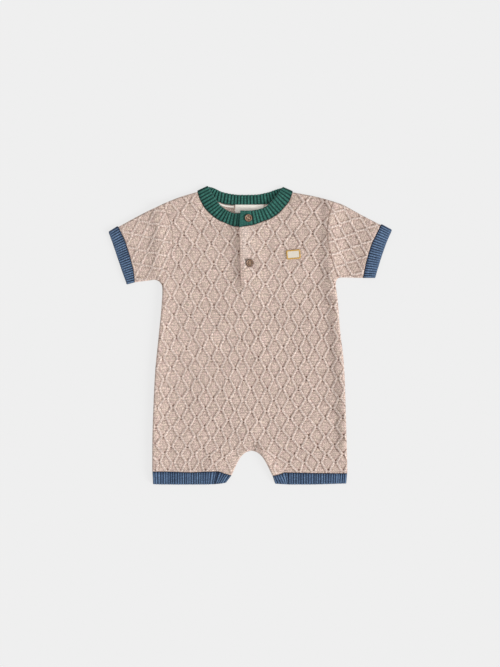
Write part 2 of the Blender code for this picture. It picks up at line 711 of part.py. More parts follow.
def make_plate(name, middle, size, bottom, colour, turn=0.0):
    """A woven plate of cloth with softened edges."""
    mesh = bmesh.new()
    bmesh.ops.create_cube(mesh, size=1.0)
    bmesh.ops.scale(mesh, vec=Vector((*size, TRIM)), verts=mesh.verts)
    bmesh.ops.bevel(mesh, geom=mesh.edges[:], offset=0.25, segments=1, affect="EDGES")
    bmesh.ops.rotate(mesh, matrix=Matrix.Rotation(math.radians(turn), 3, "Z"), verts=mesh.verts)
    bmesh.ops.translate(mesh, vec=Vector((*middle, bottom + TRIM / 2)), verts=mesh.verts)
    add_object(name, mesh, colour)


def button_profile():
    """Half section of a dished button with a rounded rim, from the middle of the top down."""
    r, t = BUTTON_RADIUS, BUTTON_THICK
    return [(0.0, 0.62 * t), (0.50 * r, 0.62 * t), (0.66 * r, 0.92 * t), (0.80 * r, t),
            (0.95 * r, 0.82 * t), (r, 0.5 * t), (0.93 * r, 0.15 * t), (0.75 * r, 0.0), (0.0, 0.0)]


def make_button(name, middle, bottom):
    mesh = bmesh.new()
    places = [mesh.verts.new((x, 0.0, z)) for x, z in button_profile()]
    edges = [mesh.edges.new(pair) for pair in zip(places, places[1:])]
    bmesh.ops.spin(mesh, geom=places + edges, cent=(0.0, 0.0, 0.0), axis=(0.0, 0.0, 1.0),
                   angle=math.tau, steps=24, use_merge=True)
    bmesh.ops.remove_doubles(mesh, verts=mesh.verts, dist=0.001)
    button = add_object(name, mesh, HORN, roughness=0.4)
    button.location = Vector((*middle, bottom)) * METRE
    for number, angle in enumerate((45, 135, 225, 315)):
        way = Vector((math.cos(math.radians(angle)), math.sin(math.radians(angle)), 0.0))
        spot = Vector((*middle, bottom + BUTTON_THICK / 2)) + way * BUTTON_HOLE["offset"] * 2 ** 0.5
        bpy.ops.mesh.primitive_cylinder_add(
            vertices=8, radius=BUTTON_HOLE["radius"] * METRE, depth=3 * BUTTON_THICK * METRE,
            location=spot * METRE)
        cutter = bpy.context.object
        cutter.name = f"{name}_hole_{number}"
        for collection in list(cutter.users_collection):
            collection.objects.unlink(cutter)
        bpy.data.collections["Cutters"].objects.link(cutter)
        cutter.hide_render = True
        cutter.display_type = "WIRE"
        cut = button.modifiers.new(cutter.name, "BOOLEAN")
        cut.operation = "DIFFERENCE"
        cut.solver = "EXACT"
        cut.object = cutter


def main():
    for obj in list(bpy.data.objects):
        bpy.data.objects.remove(obj, do_unlink=True)
    for name in ("Baby_Romper", "Cutters"):
        bpy.context.scene.collection.children.link(bpy.data.collections.new(name))
    make_back()
    make_front()
    make_underlap()
    make_gusset()
    for side in ("right", "left"):
        make_sleeve(side)
        make_cuff(side)
        make_leg_band(side)
    make_neckband()
    for name, path in TAPES.items():
        make_tape(name, path)
    make_plate("neck_label", LABEL["middle"], LABEL["size"], BACK_TOP + GAP, CREAM)
    make_plate("chest_patch", PATCH["middle"], PATCH["size"], FRONT_TOP + GAP, MUSTARD_CREAM,
               PATCH["turn"])
    flap_top = FRONT_TOP + FLAP_RISE
    make_button("button_lower", BUTTONS["button_lower"], flap_top + GAP)
    make_button("button_top", BUTTONS["button_top"], flap_top + BAND_LIFT + GAP)


main()
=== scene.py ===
"""Looks of a baby romper in fine knitted cotton, laid flat on its back.

Lengths are in millimetres and become metres when a mesh is made. +X is the wearer's left, +Y points
to the neck and +Z is up. Every piece of cloth is a thin shell with its own relief, and the pieces
of the upper layer share one gentle drape, so that they stay together at their seams.
"""

import math
from functools import partial

import bmesh
import bpy
import numpy as np
from bpy.props import FloatProperty, FloatVectorProperty, PointerProperty
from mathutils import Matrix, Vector
from mathutils.geometry import delaunay_2d_cdt
from mathutils.kdtree import KDTree


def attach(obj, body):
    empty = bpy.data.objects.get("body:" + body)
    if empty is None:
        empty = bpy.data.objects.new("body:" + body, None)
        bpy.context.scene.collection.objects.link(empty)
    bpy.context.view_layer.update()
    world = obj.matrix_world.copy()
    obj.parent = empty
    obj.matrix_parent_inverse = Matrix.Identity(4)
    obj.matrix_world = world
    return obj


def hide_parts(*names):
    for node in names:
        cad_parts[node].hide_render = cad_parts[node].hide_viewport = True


bl_info = {
    "name": "Laid-flat baby romper",
    "version": (1, 0, 0),
    "blender": (4, 5, 0),
    "location": "3D View > Sidebar > Romper",
    "description": "Knitted romper with a raised lattice, ribbed bands, buttons and a soft studio stage",
    "category": "Object",
}

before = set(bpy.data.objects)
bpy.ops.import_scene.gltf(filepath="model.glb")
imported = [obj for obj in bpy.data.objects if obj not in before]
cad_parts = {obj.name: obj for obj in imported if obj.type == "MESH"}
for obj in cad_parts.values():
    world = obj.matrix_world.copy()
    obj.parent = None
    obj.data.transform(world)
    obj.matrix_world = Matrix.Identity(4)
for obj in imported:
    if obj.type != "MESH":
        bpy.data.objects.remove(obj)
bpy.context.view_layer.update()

MM = 0.001

# Cloth
WALL = 1.6            # a knitted wall
GAP = 0.3             # clearance between walls that lie on each other
FRONT_BOTTOM = WALL + GAP
FRONT_TOP = FRONT_BOTTOM + WALL
MIDDLE = WALL + GAP / 2  # height at which a folded edge turns over

# How finely the cloth is cut up
STEP = 1.1            # along outlines
CREST_STEP = 1.4      # along ridges
CELL_STEP = 1.6       # inside the cells
COARSE_STEP = 5.0     # sides that are hidden
SNAP = 0.0001
NEAREST = 0.42        # points closer than about this become one
RING_CLEAR = 0.24     # how far points of each kind stay away from the outline
RIDGE_CLEAR = 0.5
CELL_CLEAR = 2.2
CELL_FROM_RIDGE = 3.1 # how far points inside a cell stay away from the ridges
FINE = 0.3            # spacing at which outlines are sampled to find the nearest place

# Edges
RINGS = (0.3, 0.75, 1.3, 2.0)
FOLD_ROUND = 1.6      # width over which a folded edge turns over
FOLD_HALF = 0.35      # half the height left at a side where front and back meet
SEAM_ROUND = 0.9
SEAM_DROP = 0.45
RIM_HALF = 0.5        # share of a wall's thickness that is left at a free edge
FLUSH_DROP = 0.12     # a seam that hardly shows
# Painted shade along each kind of edge, strongest on the armhole on the wearer's left, and the width
# over which it fades in
EDGE_TONE = {"seam": 0.2, "tight": 0.6, "flush": 0.0, "side": 0.22, "fold": 0.18, "free": 0.3}
EDGE_TONE_WIDE = 0.9
RELIEF_RUN = 1.6      # width over which the relief fades in from an edge

# Raised lattice
RIDGE_HALF = 1.8      # half the width of a ridge
HOLLOW = 0.12         # groove along either foot of a ridge
HOLLOW_AT = 2.3
HOLLOW_WIDE = 0.65
PUFF = 0.12           # how far the middle of a cell stands above its rim
PUFF_RUN = 4.0
NODE_OFFSET = 1.8     # from the middle of a node to either crest
SLEEVE_OFFSET = 0.8   # the same on a sleeve, where the knitting is pulled along the ridges
SLEEVE_MARKS = 0.45   # how deep the holes are on a sleeve, against those on the body
CORNER = 1.2          # how far a ridge is rounded off where it turns
HOLLOW_LEAST = 0.55   # share of the groove and of its painted shade at a ridge's sunny foot, and how much more at the other
HOLLOW_LEE = 0.3
PIT_DEPTH = 0.9
PIT_FILLED = 0.6      # share of a pit that a ridge fills where they meet
CREST_SHARP = 1.3     # how quickly the tone of a crest fades down its sides
CREST_MOST = 1.1      # and the most it can be
HOLLOW_TONE = 0.55    # how dark the painted shade in a groove is, and in a pit
PIT_TONE = 1.05
PRESSED = 0.45        # share of the relief that is left on the side that lies on the floor
PRESSED_MOST = 1.3
# How uneven the relief is: by what share, the size of its humps, and the seed
UNEVEN = {"width": (0.12, 2.6, 21), "crest": (0.20, 1.7, 22), "hollow": (0.5, 3.0, 23),
          "puff": (0.25, 14.0, 24)}
# Small holes at a node, each as its place along the wale, depth, width and length, and the rungs
# between them, each as its place and height
PITS = [(2.4, 0.9, 0.7, 1.2), (-1.9, 1.5, 1.0, 0.5), (-4.8, 0.45, 1.8, 0.6)]
RUNGS = [(0.2, 0.45), (-3.3, 0.3)]
RUNG_WIDE = 2.4
RUNG_LONG = 0.6
SOFTER = 0.12         # the relief is softer by this share on the wearer's right
CHEST_HALF = 122.0    # half the width over which it becomes softer
NODE_JITTER = 0.35    # how far a node strays from its place
PIT_JITTER = 0.4      # how far a hole strays along the wale

# Half placket
SLIT_TOP = (-15.8, 152.0)
SLIT_END = (-13.4, 67.0)
SLIT_WIDTH = 0.3
FLAP_RISE = 2.1       # how far the flap stands above the underlap's place
FLAP_REACH = 8.0      # x up to which it stands so high, and the width over which it then falls
FLAP_FALL = 20.0
FLAP_START = 26.0     # below the slit, where the flap starts to lift the cloth
FLAP_FULL = 12.0      # above the slit's end, where it has lifted it all the way
FLAP_BESIDE = 12.0    # width over which the lift fades on the other side of the slit
SELVEDGE = 3.6        # width of the flap's plain edge, and over which the lattice then starts
SELVEDGE_RUN = 1.5
SELVEDGE_LINES = (1.7, 3.4)
LINE_TONE = 0.6       # how dark the painted shade in the lines between its stitches is, against a furrow
LINE_WIDE = 0.45
SLIT_TONE = 0.8       # how dark the painted shade at the edge of the slit is
SLIT_SHADE = 0.26     # the same painted shade where the cloth dips beside it
SLIT_SHADE_WIDE = 7.0
FLAP_LIGHT = 1.3      # how strong the painted light on the plain stitches at the top of the flap is
FLAP_LIGHT_AT = 6.0   # from the slit
FLAP_LIGHT_WIDE = 9.0
FLAP_LIGHT_FROM = 90.0
FLAP_LIGHT_RUN = 35.0
GUSSET_TONE = 1.0     # how dark the gusset's seam on the left is
SEAM_LINE_WIDE = 0.7
FURROW_DEPTH = 0.35
FURROW_TONE = 0.5
UNDERLAP = [(-13.25, 80.0), (7.6, 80.0), (7.6, 153.4), (-6.0, 151.4), (-15.65, 151.4)]

# Ribbed bands
RIB_STATIONS = 8      # sections to a rib
RIB_SWELL = 0.6       # how far a rib reaches past the furrows at a band's edges
SWELL_FROM = 0.6      # the height from which it does
BAND_LIFT = 2.1       # how far the neckband's free edge stands up in front
BAND_LIFT_RUN = 24.0
BAND_BARE = 14.0      # the plain end of the neckband on the flap
NECK_LAP = 20.0       # length of it that lies under the flap
FLAP_CORNER = 1.9     # how far the corner of the band's upper end hangs down over the flap
CORNER_RUN = 4.0
# width of the painted shadow of the flap on the end of the band that lies under it
LAP_SHADE_WIDE = 2.6
BAND_SINK = 0.3       # how far the ground between the ribs lies below the body
NECK_SINK = 0.6
NECK_FOLD_SINK = 0.4
UNDER_RIB = 0.35      # ribs on the side that lies on the floor
BACK_UNDER_RIB = 0.3  # the same at the back of the neck, where the other side shows
BACK_SINK = 0.4       # and how far its ground lies below the wall's top there, with its ribs' height
BACK_RIB = 1.2
BAND_STEPS = 7        # steps in which a band turns over at a fold
NECK_STEPS = 8
# Painted shade on a band: how dark along its seam, how dark along its free edge, and how much of the
# painted light and shade of the furrows is left towards that edge
CUFF_RIMS = (0.95, 0.3, 0.4)
LEG_RIMS = (0.8, 0.3, 1.0)
NECK_RIMS = (0.8, 0.0, 0.85)
BACK_RIMS = (0.5, 0.1, 1.0)
# Painted light, painted shade and rims where a band turns over
BAND_FOLD_TONE = (0.4, 0.2, (0.5, 0.2, 1.0))
NECK_FOLD_TONE = (0.3, 0.4, NECK_RIMS)
HIDDEN_TONE = (0.3, 0.0, NECK_RIMS)

# Seams and folds, (x, y), each drawn from the neck or the outer side inwards or down
SHOULDER = {
    "right": [(-73.9, 201.1), (-92.8, 195.6), (-105.4, 191.3), (-122.2, 184.3)],
    "left": [(59.2, 200.5), (86.5, 195.5), (101.9, 191.8), (116.5, 187.6)],
}
ARMHOLE = {
    "right": [(-122.2, 184.3), (-114.5, 164.0), (-109.5, 147.0), (-109.1, 131.0),
              (-111.5, 111.0), (-117.5, 93.0), (-127.0, 75.5)],
    "left": [(116.5, 187.6), (111.3, 173.0), (108.6, 156.0), (107.6, 139.5),
             (111.2, 120.0), (115.9, 101.7), (122.5, 80.5)],
}
SIDE = {
    "right": [(-127.0, 75.5), (-123.0, 66.7), (-124.5, 36.0), (-128.7, -6.0),
              (-133.4, -56.5), (-136.6, -132.0), (-137.2, -189.8)],
    "left": [(122.5, 80.5), (119.6, 72.0), (122.9, 44.0), (125.7, 6.5),
             (131.3, -43.9), (134.1, -123.7), (135.8, -192.3)],
}
SLEEVE_TOP = {
    "right": [(-122.2, 184.3), (-143.2, 174.3), (-160.0, 165.6), (-184.4, 152.2)],
    "left": [(116.5, 187.6), (129.9, 182.9), (145.3, 174.5), (160.7, 166.1), (182.4, 154.9)],
}
UNDERARM = {
    "right": [(-127.0, 75.5), (-133.0, 78.0), (-141.0, 77.3), (-161.4, 74.6)],
    "left": [(122.5, 80.5), (128.0, 81.2), (140.0, 81.1), (157.4, 80.7)],
}
CUFF_SEAM = {
    "right": [(-184.4, 152.2), (-179.3, 142.0), (-174.6, 131.5), (-170.0, 117.0),
              (-166.0, 103.0), (-163.2, 91.0), (-161.4, 74.6)],
    "left": [(182.4, 154.9), (177.2, 144.4), (170.0, 130.0), (164.9, 114.5),
             (160.6, 98.0), (157.4, 80.7)],
}
CUFF_EDGE = {
    "right": [(-197.8, 143.8), (-191.8, 127.0), (-185.0, 107.0), (-178.6, 88.0), (-172.6, 71.6)],
    "left": [(197.8, 146.5), (191.0, 131.0), (184.6, 113.0), (179.2, 96.0), (174.7, 80.7)],
}
# Both edges of a leg band, a point of one for each point of the other
LEG_SEAM = {
    "right": [(-137.2, -189.8), (-126.0, -189.7), (-105.0, -190.2), (-84.0, -191.0),
              (-63.0, -190.0), (-45.2, -189.5), (-40.5, -190.8), (-35.0, -192.8), (-30.5, -194.2),
              (-26.0, -195.4)],
    "left": [(135.8, -192.3), (91.0, -192.0), (54.0, -191.2), (50.0, -191.1), (47.5, -191.0),
             (41.5, -193.4), (36.0, -194.9), (30.7, -195.6)],
}
LEG_HEM = {
    "right": [(-136.2, -207.7), (-126.0, -208.1), (-105.0, -208.3), (-84.0, -208.3),
              (-63.0, -208.2), (-49.5, -207.8), (-47.5, -207.6), (-43.5, -207.2), (-38.5, -206.6),
              (-33.5, -205.4)],
    "left": [(134.6, -206.8), (91.0, -208.2), (54.0, -208.2), (52.5, -208.1), (51.0, -208.0),
             (48.5, -207.9), (42.0, -207.6), (34.4, -207.0)],
}
LEG_CORNER = {"right": 5, "left": 4}  # point where the gusset's seam meets the band's
NOTCH = {
    "right": [(-26.0, -195.4), (-19.8, -181.4), (-13.5, -170.0), (-6.0, -163.3), (1.5, -160.9)],
    "left": [(30.7, -195.6), (23.9, -181.4), (17.0, -170.0), (9.3, -163.2), (1.5, -160.9)],
}
GUSSET_SEAM = {
    "right": [(-45.2, -189.5), (-33.0, -172.5), (-23.2, -161.5), (-12.5, -154.5), (-2.4, -143.3)],
    "left": [(47.5, -191.0), (34.5, -173.5), (22.0, -162.5), (9.0, -156.0), (-2.4, -143.3)],
}
NECK_FRONT = {
    "right": [(-73.9, 201.1), (-71.0, 191.5), (-65.0, 180.0), (-56.4, 170.3), (-45.2, 161.9),
              (-34.0, 157.0), (-24.0, 152.8), SLIT_TOP],
    "left": [(59.2, 200.5), (54.7, 188.5), (47.5, 179.0), (38.9, 170.3), (27.7, 163.3),
             (16.5, 159.1), (5.3, 154.9), (-6.0, 152.9), (-15.6, 151.6)],
}
NECK_BACK = [(-73.9, 201.1), (-60.0, 193.5), (-45.2, 187.1), (-34.0, 183.6), (-20.0, 182.5),
             (-6.0, 182.5), (10.0, 183.5), (27.7, 184.5), (44.0, 191.0), (59.2, 200.5)]

# Free edge of the neckband, a point for each point of the seam that it is sewn to
BAND_FRONT = {
    "right": [(-58.5, 208.3), (-54.5, 201.0), (-48.0, 190.5), (-41.5, 182.0), (-34.5, 176.4),
              (-28.4, 173.1), (-21.0, 170.9), (-13.5, 170.3)],
    "left": [(44.5, 206.9), (39.5, 200.5), (34.5, 193.3), (26.0, 184.0), (19.0, 178.8),
             (11.0, 176.2), (2.0, 174.8), (-6.0, 174.4), (-14.0, 174.5)],
}
BAND_BACK = [(-58.5, 208.3), (-50.8, 206.4), (-42.0, 202.0), (-31.5, 199.0), (-19.0, 197.2),
             (-6.0, 196.9), (9.0, 197.3), (24.0, 200.2), (36.5, 204.4), (44.5, 206.9)]
BAND_UNDERLAP = [(6.0, 155.2), (5.0, 171.2)]

# Lattice of the body. A row is half a repeat. A column is one cell wide, numbered from the middle.
# row, y at the sides, y in the middle, x of columns -4, -2, 0, 2 and 4
BODY_ROWS = [
    (0, 186.8, 186.8, -112.4, -58.0, -4.7, 48.7, 103.8),
    (2, 158.0, 158.0, -107.5, -56.6, -4.7, 47.5, 101.2),
    (4, 128.6, 129.7, -102.1, -54.4, -4.6, 46.3, 99.1),
    (6, 99.5, 100.0, -100.3, -51.6, -3.9, 44.9, 96.7),
    (8, 69.5, 72.3, -98.5, -50.8, -3.4, 44.5, 93.0),
    (10, 41.5, 41.5, -97.2, -50.2, -1.8, 45.2, 92.1),
    (14, -17.3, -17.3, -90.0, -44.3, -0.4, 45.6, 89.8),
    (18, -74.4, -74.7, -84.5, -40.4, 1.9, 44.7, 89.4),
    (20, -100.9, -106.2, -85.5, -40.8, 1.5, 42.9, 91.2),
    (22, -127.5, -134.2, -86.7, -41.7, -0.4, 42.9, 92.9),
    (24, -153.8, -162.9, -88.1, -42.6, -2.5, 46.1, 93.9),
    (26, -176.5, -180.5, -89.0, -51.0, -6.0, 54.1, 97.4),
    (28, -203.0, -203.0, -90.0, -59.0, -6.0, 61.3, 100.5),
]
TABLE_COLUMNS = (-4, -2, 0, 2, 4)
BODY_SPAN = {"rows": (-1, 28), "lines": (-14, 13)}

# Lattice of the sleeves: one node's place, the step of a row down the sleeve, the step of a column
SLEEVE_LATTICE = {
    "right": {"node": (-135.4, 135.9), "row": (-11.4, -7.5), "column": (6.1, -21.8)},
    "left": {"node": (147.8, 144.3), "row": (11.4, -5.5), "column": (-6.9, -21.9)},
}
SLEEVE_SPAN = {"rows": (-6, 7), "lines": (-8, 8)}

# Ridges of the gusset, from its seam towards the notch
GUSSET_RIDGES = [
    [(-34.2, -170.5), (-32.0, -177.0), (-28.8, -183.4), (-27.0, -189.0)],
    [(-13.4, -156.9), (-18.0, -161.2), (-14.8, -169.5)],
    [(-10.4, -150.4), (-7.6, -155.4), (-3.9, -159.2)],
    [(-1.6, -145.2), (4.4, -149.0), (8.5, -155.8), (8.5, -160.0)],
    [(37.0, -175.5), (33.4, -184.5), (36.8, -191.5)],
]

BUTTONS = {"button_top": (-2.5, 164.2), "button_lower": (-0.6, 101.4)}
BUTTON_TURN = {"button_top": 45.0, "button_lower": 10.0}
BUTTON_RADIUS = 5.5
BUTTON_THICK = 2.6
BUTTON_CLEAR = 0.2    # between a button and what it lies on, besides the gap
BUTTON_ON_BAND = 0.6  # share of the neckband's lift under the upper button
HOLE_RADIUS = 0.9
HOLE_OFFSET = 2.1
PATCH = {"middle": (60.3, 113.5), "size": (18.9, 12.2), "turn": 5.0}
LABEL = {"middle": (-1.2, 177.2), "size": (40.2, 12.2)}
TAPES = {
    "neck_tape_right": [(-46.5, 184.9), (-40.0, 182.9), (-34.0, 181.3), (-23.2, 179.9)],
    "neck_tape_left": [(20.6, 180.4), (26.0, 181.3), (31.5, 182.9)],
}
TAPE_WIDTH = 2.6
TRIM = 1.0            # thickness of the label, the patch and the tape
PRESS_MARGIN = 3.0    # width over which the ridges sink beside what is sewn on them
PATCH_STEP = 0.5
SATIN_STITCH = 0.42
SATIN_WIDTH = 2.0
SATIN_RISE = (0.0, 0.2475, 0.33, 0.2475, 0.0)  # height of a satin stitch along its length

# Camera and stage
VIEW_WIDTH = 700.0
VIEW_MIDDLE = (-0.35, 3.0)
CAMERA_HEIGHT = 2600.0
SENSOR = 36.0
FLOOR_DROP = 0.2      # how far the floor lies below the garment


# Settings ---------------------------------------------------------------------------------------

def linear(hex_colour):
    """An sRGB hex value as linear RGBA."""
    values = [int(hex_colour[i:i + 2], 16) / 255 for i in (0, 2, 4)]
    return (*(v / 12.92 if v <= 0.04045 else ((v + 0.055) / 1.055) ** 2.4 for v in values), 1.0)


def colour(name, description, hex_colour):
    return FloatVectorProperty(name=name, description=description, subtype="COLOR", size=4,
                               default=linear(hex_colour), min=0.0, max=1.0)


def length(name, description, millimetres):
    return FloatProperty(name=name, description=description, unit="LENGTH", precision=5,
                         default=millimetres * MM, min=0.0)


class RomperSizes(bpy.types.PropertyGroup):
    """Sizes of the knitting."""
    ridge_height: length("Ridge height", "How far a ridge of the lattice stands up", 0.42)
    wale: length("Wale", "Width of a column of stitches, as drawn", 3.13)
    course: length("Course", "Height of a row of stitches, as drawn", 3.6)
    rib_height: length("Rib height", "How far a rib of a cuff or leg band stands up", 0.9)
    rib_pitch: length("Rib pitch", "From one rib of a cuff or leg band to the next", 3.35)
    neck_rib_height: length("Neck rib height", "How far a rib of the neckband stands up", 1.1)
    neck_rib_pitch: length("Neck rib pitch", "From one rib of the neckband to the next", 4.6)


class RomperColours(bpy.types.PropertyGroup):
    """Colours of the yarns, the trim and the floor."""
    # The _shadow colours and horn_shadow are painted shade in grooves, pits, furrows, along edges and
    # seams, and on the buttons' rims and wells. The blue and green _crest colours are painted highlight
    # on the ribs' tops; taupe_crest is the lighter yarn of the ridges, and painted light on the flap.
    taupe_yarn: colour("Taupe", "Yarn of the body and the sleeves", "CEB5AC")
    taupe_fleck: colour("Taupe fleck", "Second tone of that yarn", "CBB8A9")
    taupe_crest: colour("Taupe crest", "The same yarn on top of a ridge", "D8C6BC")
    taupe_shadow: colour("Taupe shadow", "The same yarn deep between the stitches", "6A4434")
    blue_yarn: colour("Blue", "Yarn of the cuffs and the leg bands", "344665")
    blue_fleck: colour("Blue fleck", "Second tone of that yarn", "3B4F6D")
    blue_crest: colour("Blue crest", "The same yarn on top of a rib", "647D9B")
    blue_shadow: colour("Blue shadow", "The same yarn deep between the ribs", "131E33")
    green_yarn: colour("Green", "Yarn of the neckband", "174A44")
    green_fleck: colour("Green fleck", "Second tone of that yarn", "1C534B")
    green_crest: colour("Green crest", "The same yarn on top of a rib", "386F63")
    green_shadow: colour("Green shadow", "The same yarn deep between the ribs", "052B27")
    cream: colour("Cream", "Tape and label in the neck", "FFF8EE")
    patch: colour("Patch", "Patch on the chest", "E2DACB")
    mustard: colour("Mustard", "Stitches round the patch", "D9AE5A")
    horn_light: colour("Light horn", "Light streaks of the buttons", "B8937A")
    horn_dark: colour("Dark horn", "Dark streaks of the buttons", "86664F")
    horn_shadow: colour("Horn shadow", "Rim and well of the buttons", "2E1C14")
    thread: colour("Thread", "Thread that holds the buttons", "CDB79A")
    floor: colour("Floor", "Paper that the garment lies on", "EFEFEF")


def size(key):
    """A size from the settings, in millimetres."""
    return getattr(bpy.context.scene.romper_sizes, key) / MM


# Small tools ------------------------------------------------------------------------------------

def smooth(value):
    """0 below 0, 1 above 1, with soft ends between."""
    value = np.clip(value, 0.0, 1.0)
    return value * value * (3.0 - 2.0 * value)


def bulge(distance, reach):
    """A quarter of an ellipse: 0 at distance 0, 1 from reach on."""
    part = np.clip(distance / reach, 0.0, 1.0)
    return np.sqrt(np.maximum(1.0 - (1.0 - part) ** 2, 0.0))


def bell(distance, width):
    return np.exp(-(distance / width) ** 2)


def ripple(points, size, seed, waves=6):
    """A smooth, uneven field between about -1 and 1, with humps of about the given size."""
    chance = np.random.default_rng(seed)
    total = np.zeros(len(points))
    for _ in range(waves):
        angle, phase = chance.uniform(0.0, math.tau, 2)
        pace = math.tau / (size * chance.uniform(1.4, 3.0))
        total += np.sin(pace * (points[:, 0] * math.cos(angle) + points[:, 1] * math.sin(angle)) + phase)
    return total / math.sqrt(waves)


def uneven(points, what):
    share, size, seed = UNEVEN[what]
    return 1.0 + share * ripple(points, size, seed)


def run_of(path):
    """Distance along a path at each of its points."""
    return np.concatenate([[0.0], np.cumsum(np.linalg.norm(np.diff(path, axis=0), axis=1))])


def at_runs(path, runs):
    """Places on a path at the given distances from its start."""
    along = run_of(path)
    return np.stack([np.interp(runs, along, path[:, i]) for i in range(path.shape[1])], axis=1)


def even(path, spacing):
    """The path with points at equal distances of about spacing."""
    total = run_of(path)[-1]
    return at_runs(path, np.linspace(0.0, total, max(1, round(total / spacing)) + 1))


def spline(points, steps=12):
    """A smooth curve through points, each span in so many steps."""
    points = np.array(points, float)
    padded = np.vstack([2 * points[0] - points[1], points, 2 * points[-1] - points[-2]])
    t = (np.arange(steps) / steps)[:, None]
    spans = [0.5 * (2 * b + (c - a) * t + (2 * a - 5 * b + 4 * c - d) * t * t
                    + (3 * b - a - 3 * c + d) * t ** 3)
             for a, b, c, d in zip(padded, padded[1:], padded[2:], padded[3:])]
    return np.vstack(spans + [points[-1:]])


def curve(points, spacing=STEP):
    return even(spline(points), spacing)


def rounded(points, reach):
    """A path through points, its corners rounded off within reach."""
    fine = even(np.array(points, float), 0.4)
    count = max(1, round(reach / 0.4))
    padded = np.vstack([fine[:1]] * count + [fine] + [fine[-1:]] * count)
    weights = np.hanning(2 * count + 3)[1:-1]
    weights /= weights.sum()
    return np.stack([np.convolve(padded[:, i], weights, "valid") for i in range(fine.shape[1])], axis=1)


def normals_of(path, closed=False):
    """Unit vectors to the left of a path."""
    if closed:
        run = np.roll(path, -1, axis=0) - np.roll(path, 1, axis=0)
    else:
        run = np.gradient(path, axis=0)
    run /= np.maximum(np.linalg.norm(run, axis=1, keepdims=True), 1e-9)
    return np.stack([-run[:, 1], run[:, 0]], axis=1)


def shoelace(outline):
    x, y = outline[:, 0], outline[:, 1]
    return 0.5 * abs(np.dot(x, np.roll(y, -1)) - np.dot(y, np.roll(x, -1)))


class Near:
    """Finds the nearest of many places."""

    def __init__(self, places):
        self.tree = KDTree(len(places))
        for i, (x, y) in enumerate(places.tolist()):
            self.tree.insert((x, y, 0.0), i)
        self.tree.balance()

    def __call__(self, points):
        found = [self.tree.find((x, y, 0.0))[1:] for x, y in points.tolist()]
        return np.array([f[1] for f in found]), np.array([f[0] for f in found])


def thinned(points, size=NEAREST):
    """One point for each small square of the plane."""
    keys = np.round(points / size).astype(np.int64)
    _, first = np.unique(keys, axis=0, return_index=True)
    return points[np.sort(first)]


def hexagons(low, high, step):
    """Points of a triangular grid over a box."""
    rows = np.arange(low[1], high[1], step * 0.866)
    columns = np.arange(low[0], high[0], step)
    x, y = np.meshgrid(columns, rows)
    x = x + np.where(np.arange(len(rows)) % 2, step / 2, 0.0)[:, None]
    return np.stack([x.ravel(), y.ravel()], axis=1)


# Outlines ---------------------------------------------------------------------------------------

class Outline:
    """A closed, counter-clockwise outline put together from paths, each with its kind of edge:
    seam, tight, flush, side, fold or free."""

    def __init__(self, sides):
        self.points = np.vstack([path[:-1] for path, _ in sides])
        self.kinds = np.concatenate([[kind] * (len(path) - 1) for path, kind in sides])
        dense, kinds = [], []
        for path, kind in sides:
            fine = even(path, FINE)
            dense.append(fine)
            kinds += [kind] * len(fine)
        self.near = Near(np.vstack(dense))
        self.dense_kinds = np.array(kinds)
        self.low = self.points.min(axis=0)
        self.high = self.points.max(axis=0)

    def edge(self, points):
        """Distance to the outline, and the kind of edge that is nearest."""
        distance, index = self.near(points)
        return distance, self.dense_kinds[index]

    def rings(self):
        inward = normals_of(self.points, closed=True)
        return np.vstack([self.points + inward * reach for reach in RINGS])

    def within(self, points, clear):
        """The points in the outline's box that are more than clear away from it. Those outside the
        outline fall away when it is cut into triangles."""
        boxed = ((points > self.low) & (points < self.high)).all(axis=1)
        points = points[boxed]
        return points[self.edge(points)[0] > clear]

    @property
    def area(self):
        return shoelace(self.points) * MM * MM

    @property
    def size(self):
        return (self.high - self.low) * MM


def backwards(path):
    return path[::-1]


def leg_seam(side, on_body):
    """The part of a leg band's seam that is sewn to the body, or to the gusset."""
    corner = LEG_CORNER[side]
    table = LEG_SEAM[side][:corner + 1] if on_body else LEG_SEAM[side][corner:]
    return even(rounded(table, 2.0), STEP)


def body_outline(neck):
    """Outline of the front or the back, counter-clockwise from the wearer's right of the neck."""
    sides = []
    # The armhole on the wearer's left is a seam with more painted shade along it
    for side, armhole in (("right", "seam"), ("left", "tight")):
        sides += turned([(curve(SHOULDER[side]), "fold"), (curve(ARMHOLE[side]), armhole),
                         (curve(SIDE[side]), "side"), (leg_seam(side, True), "seam"),
                         (curve(GUSSET_SEAM[side]), "flush")], side)
    return Outline(sides + neck)


def turned(sides, side):
    """The same sides, counter-clockwise for either side of the body."""
    if side == "right":
        return sides
    return [(backwards(path), kind) for path, kind in reversed(sides)]


# Drape shared by the pieces of the upper layer ---------------------------------------------------

def silhouette():
    paths = [spline(NECK_BACK)]
    for side in ("right", "left"):
        for table in (SHOULDER, SLEEVE_TOP, CUFF_EDGE, UNDERARM, SIDE, NOTCH):
            paths.append(spline(table[side]))
        paths.append(np.array(LEG_HEM[side]))
    return Near(np.vstack([even(path, 1.5) for path in paths]))


SILHOUETTE = silhouette()
LIFT = 0.5            # how far air holds the upper layer up
LIFT_RUN = 1.8        # width over which it sinks to the folded edges
RIPPLE = 0.10         # unevenness of the cloth as it lies
RIPPLE_SIZE = 26.0
CREASE_END = 16.0     # run over which a fold fades out at its ends

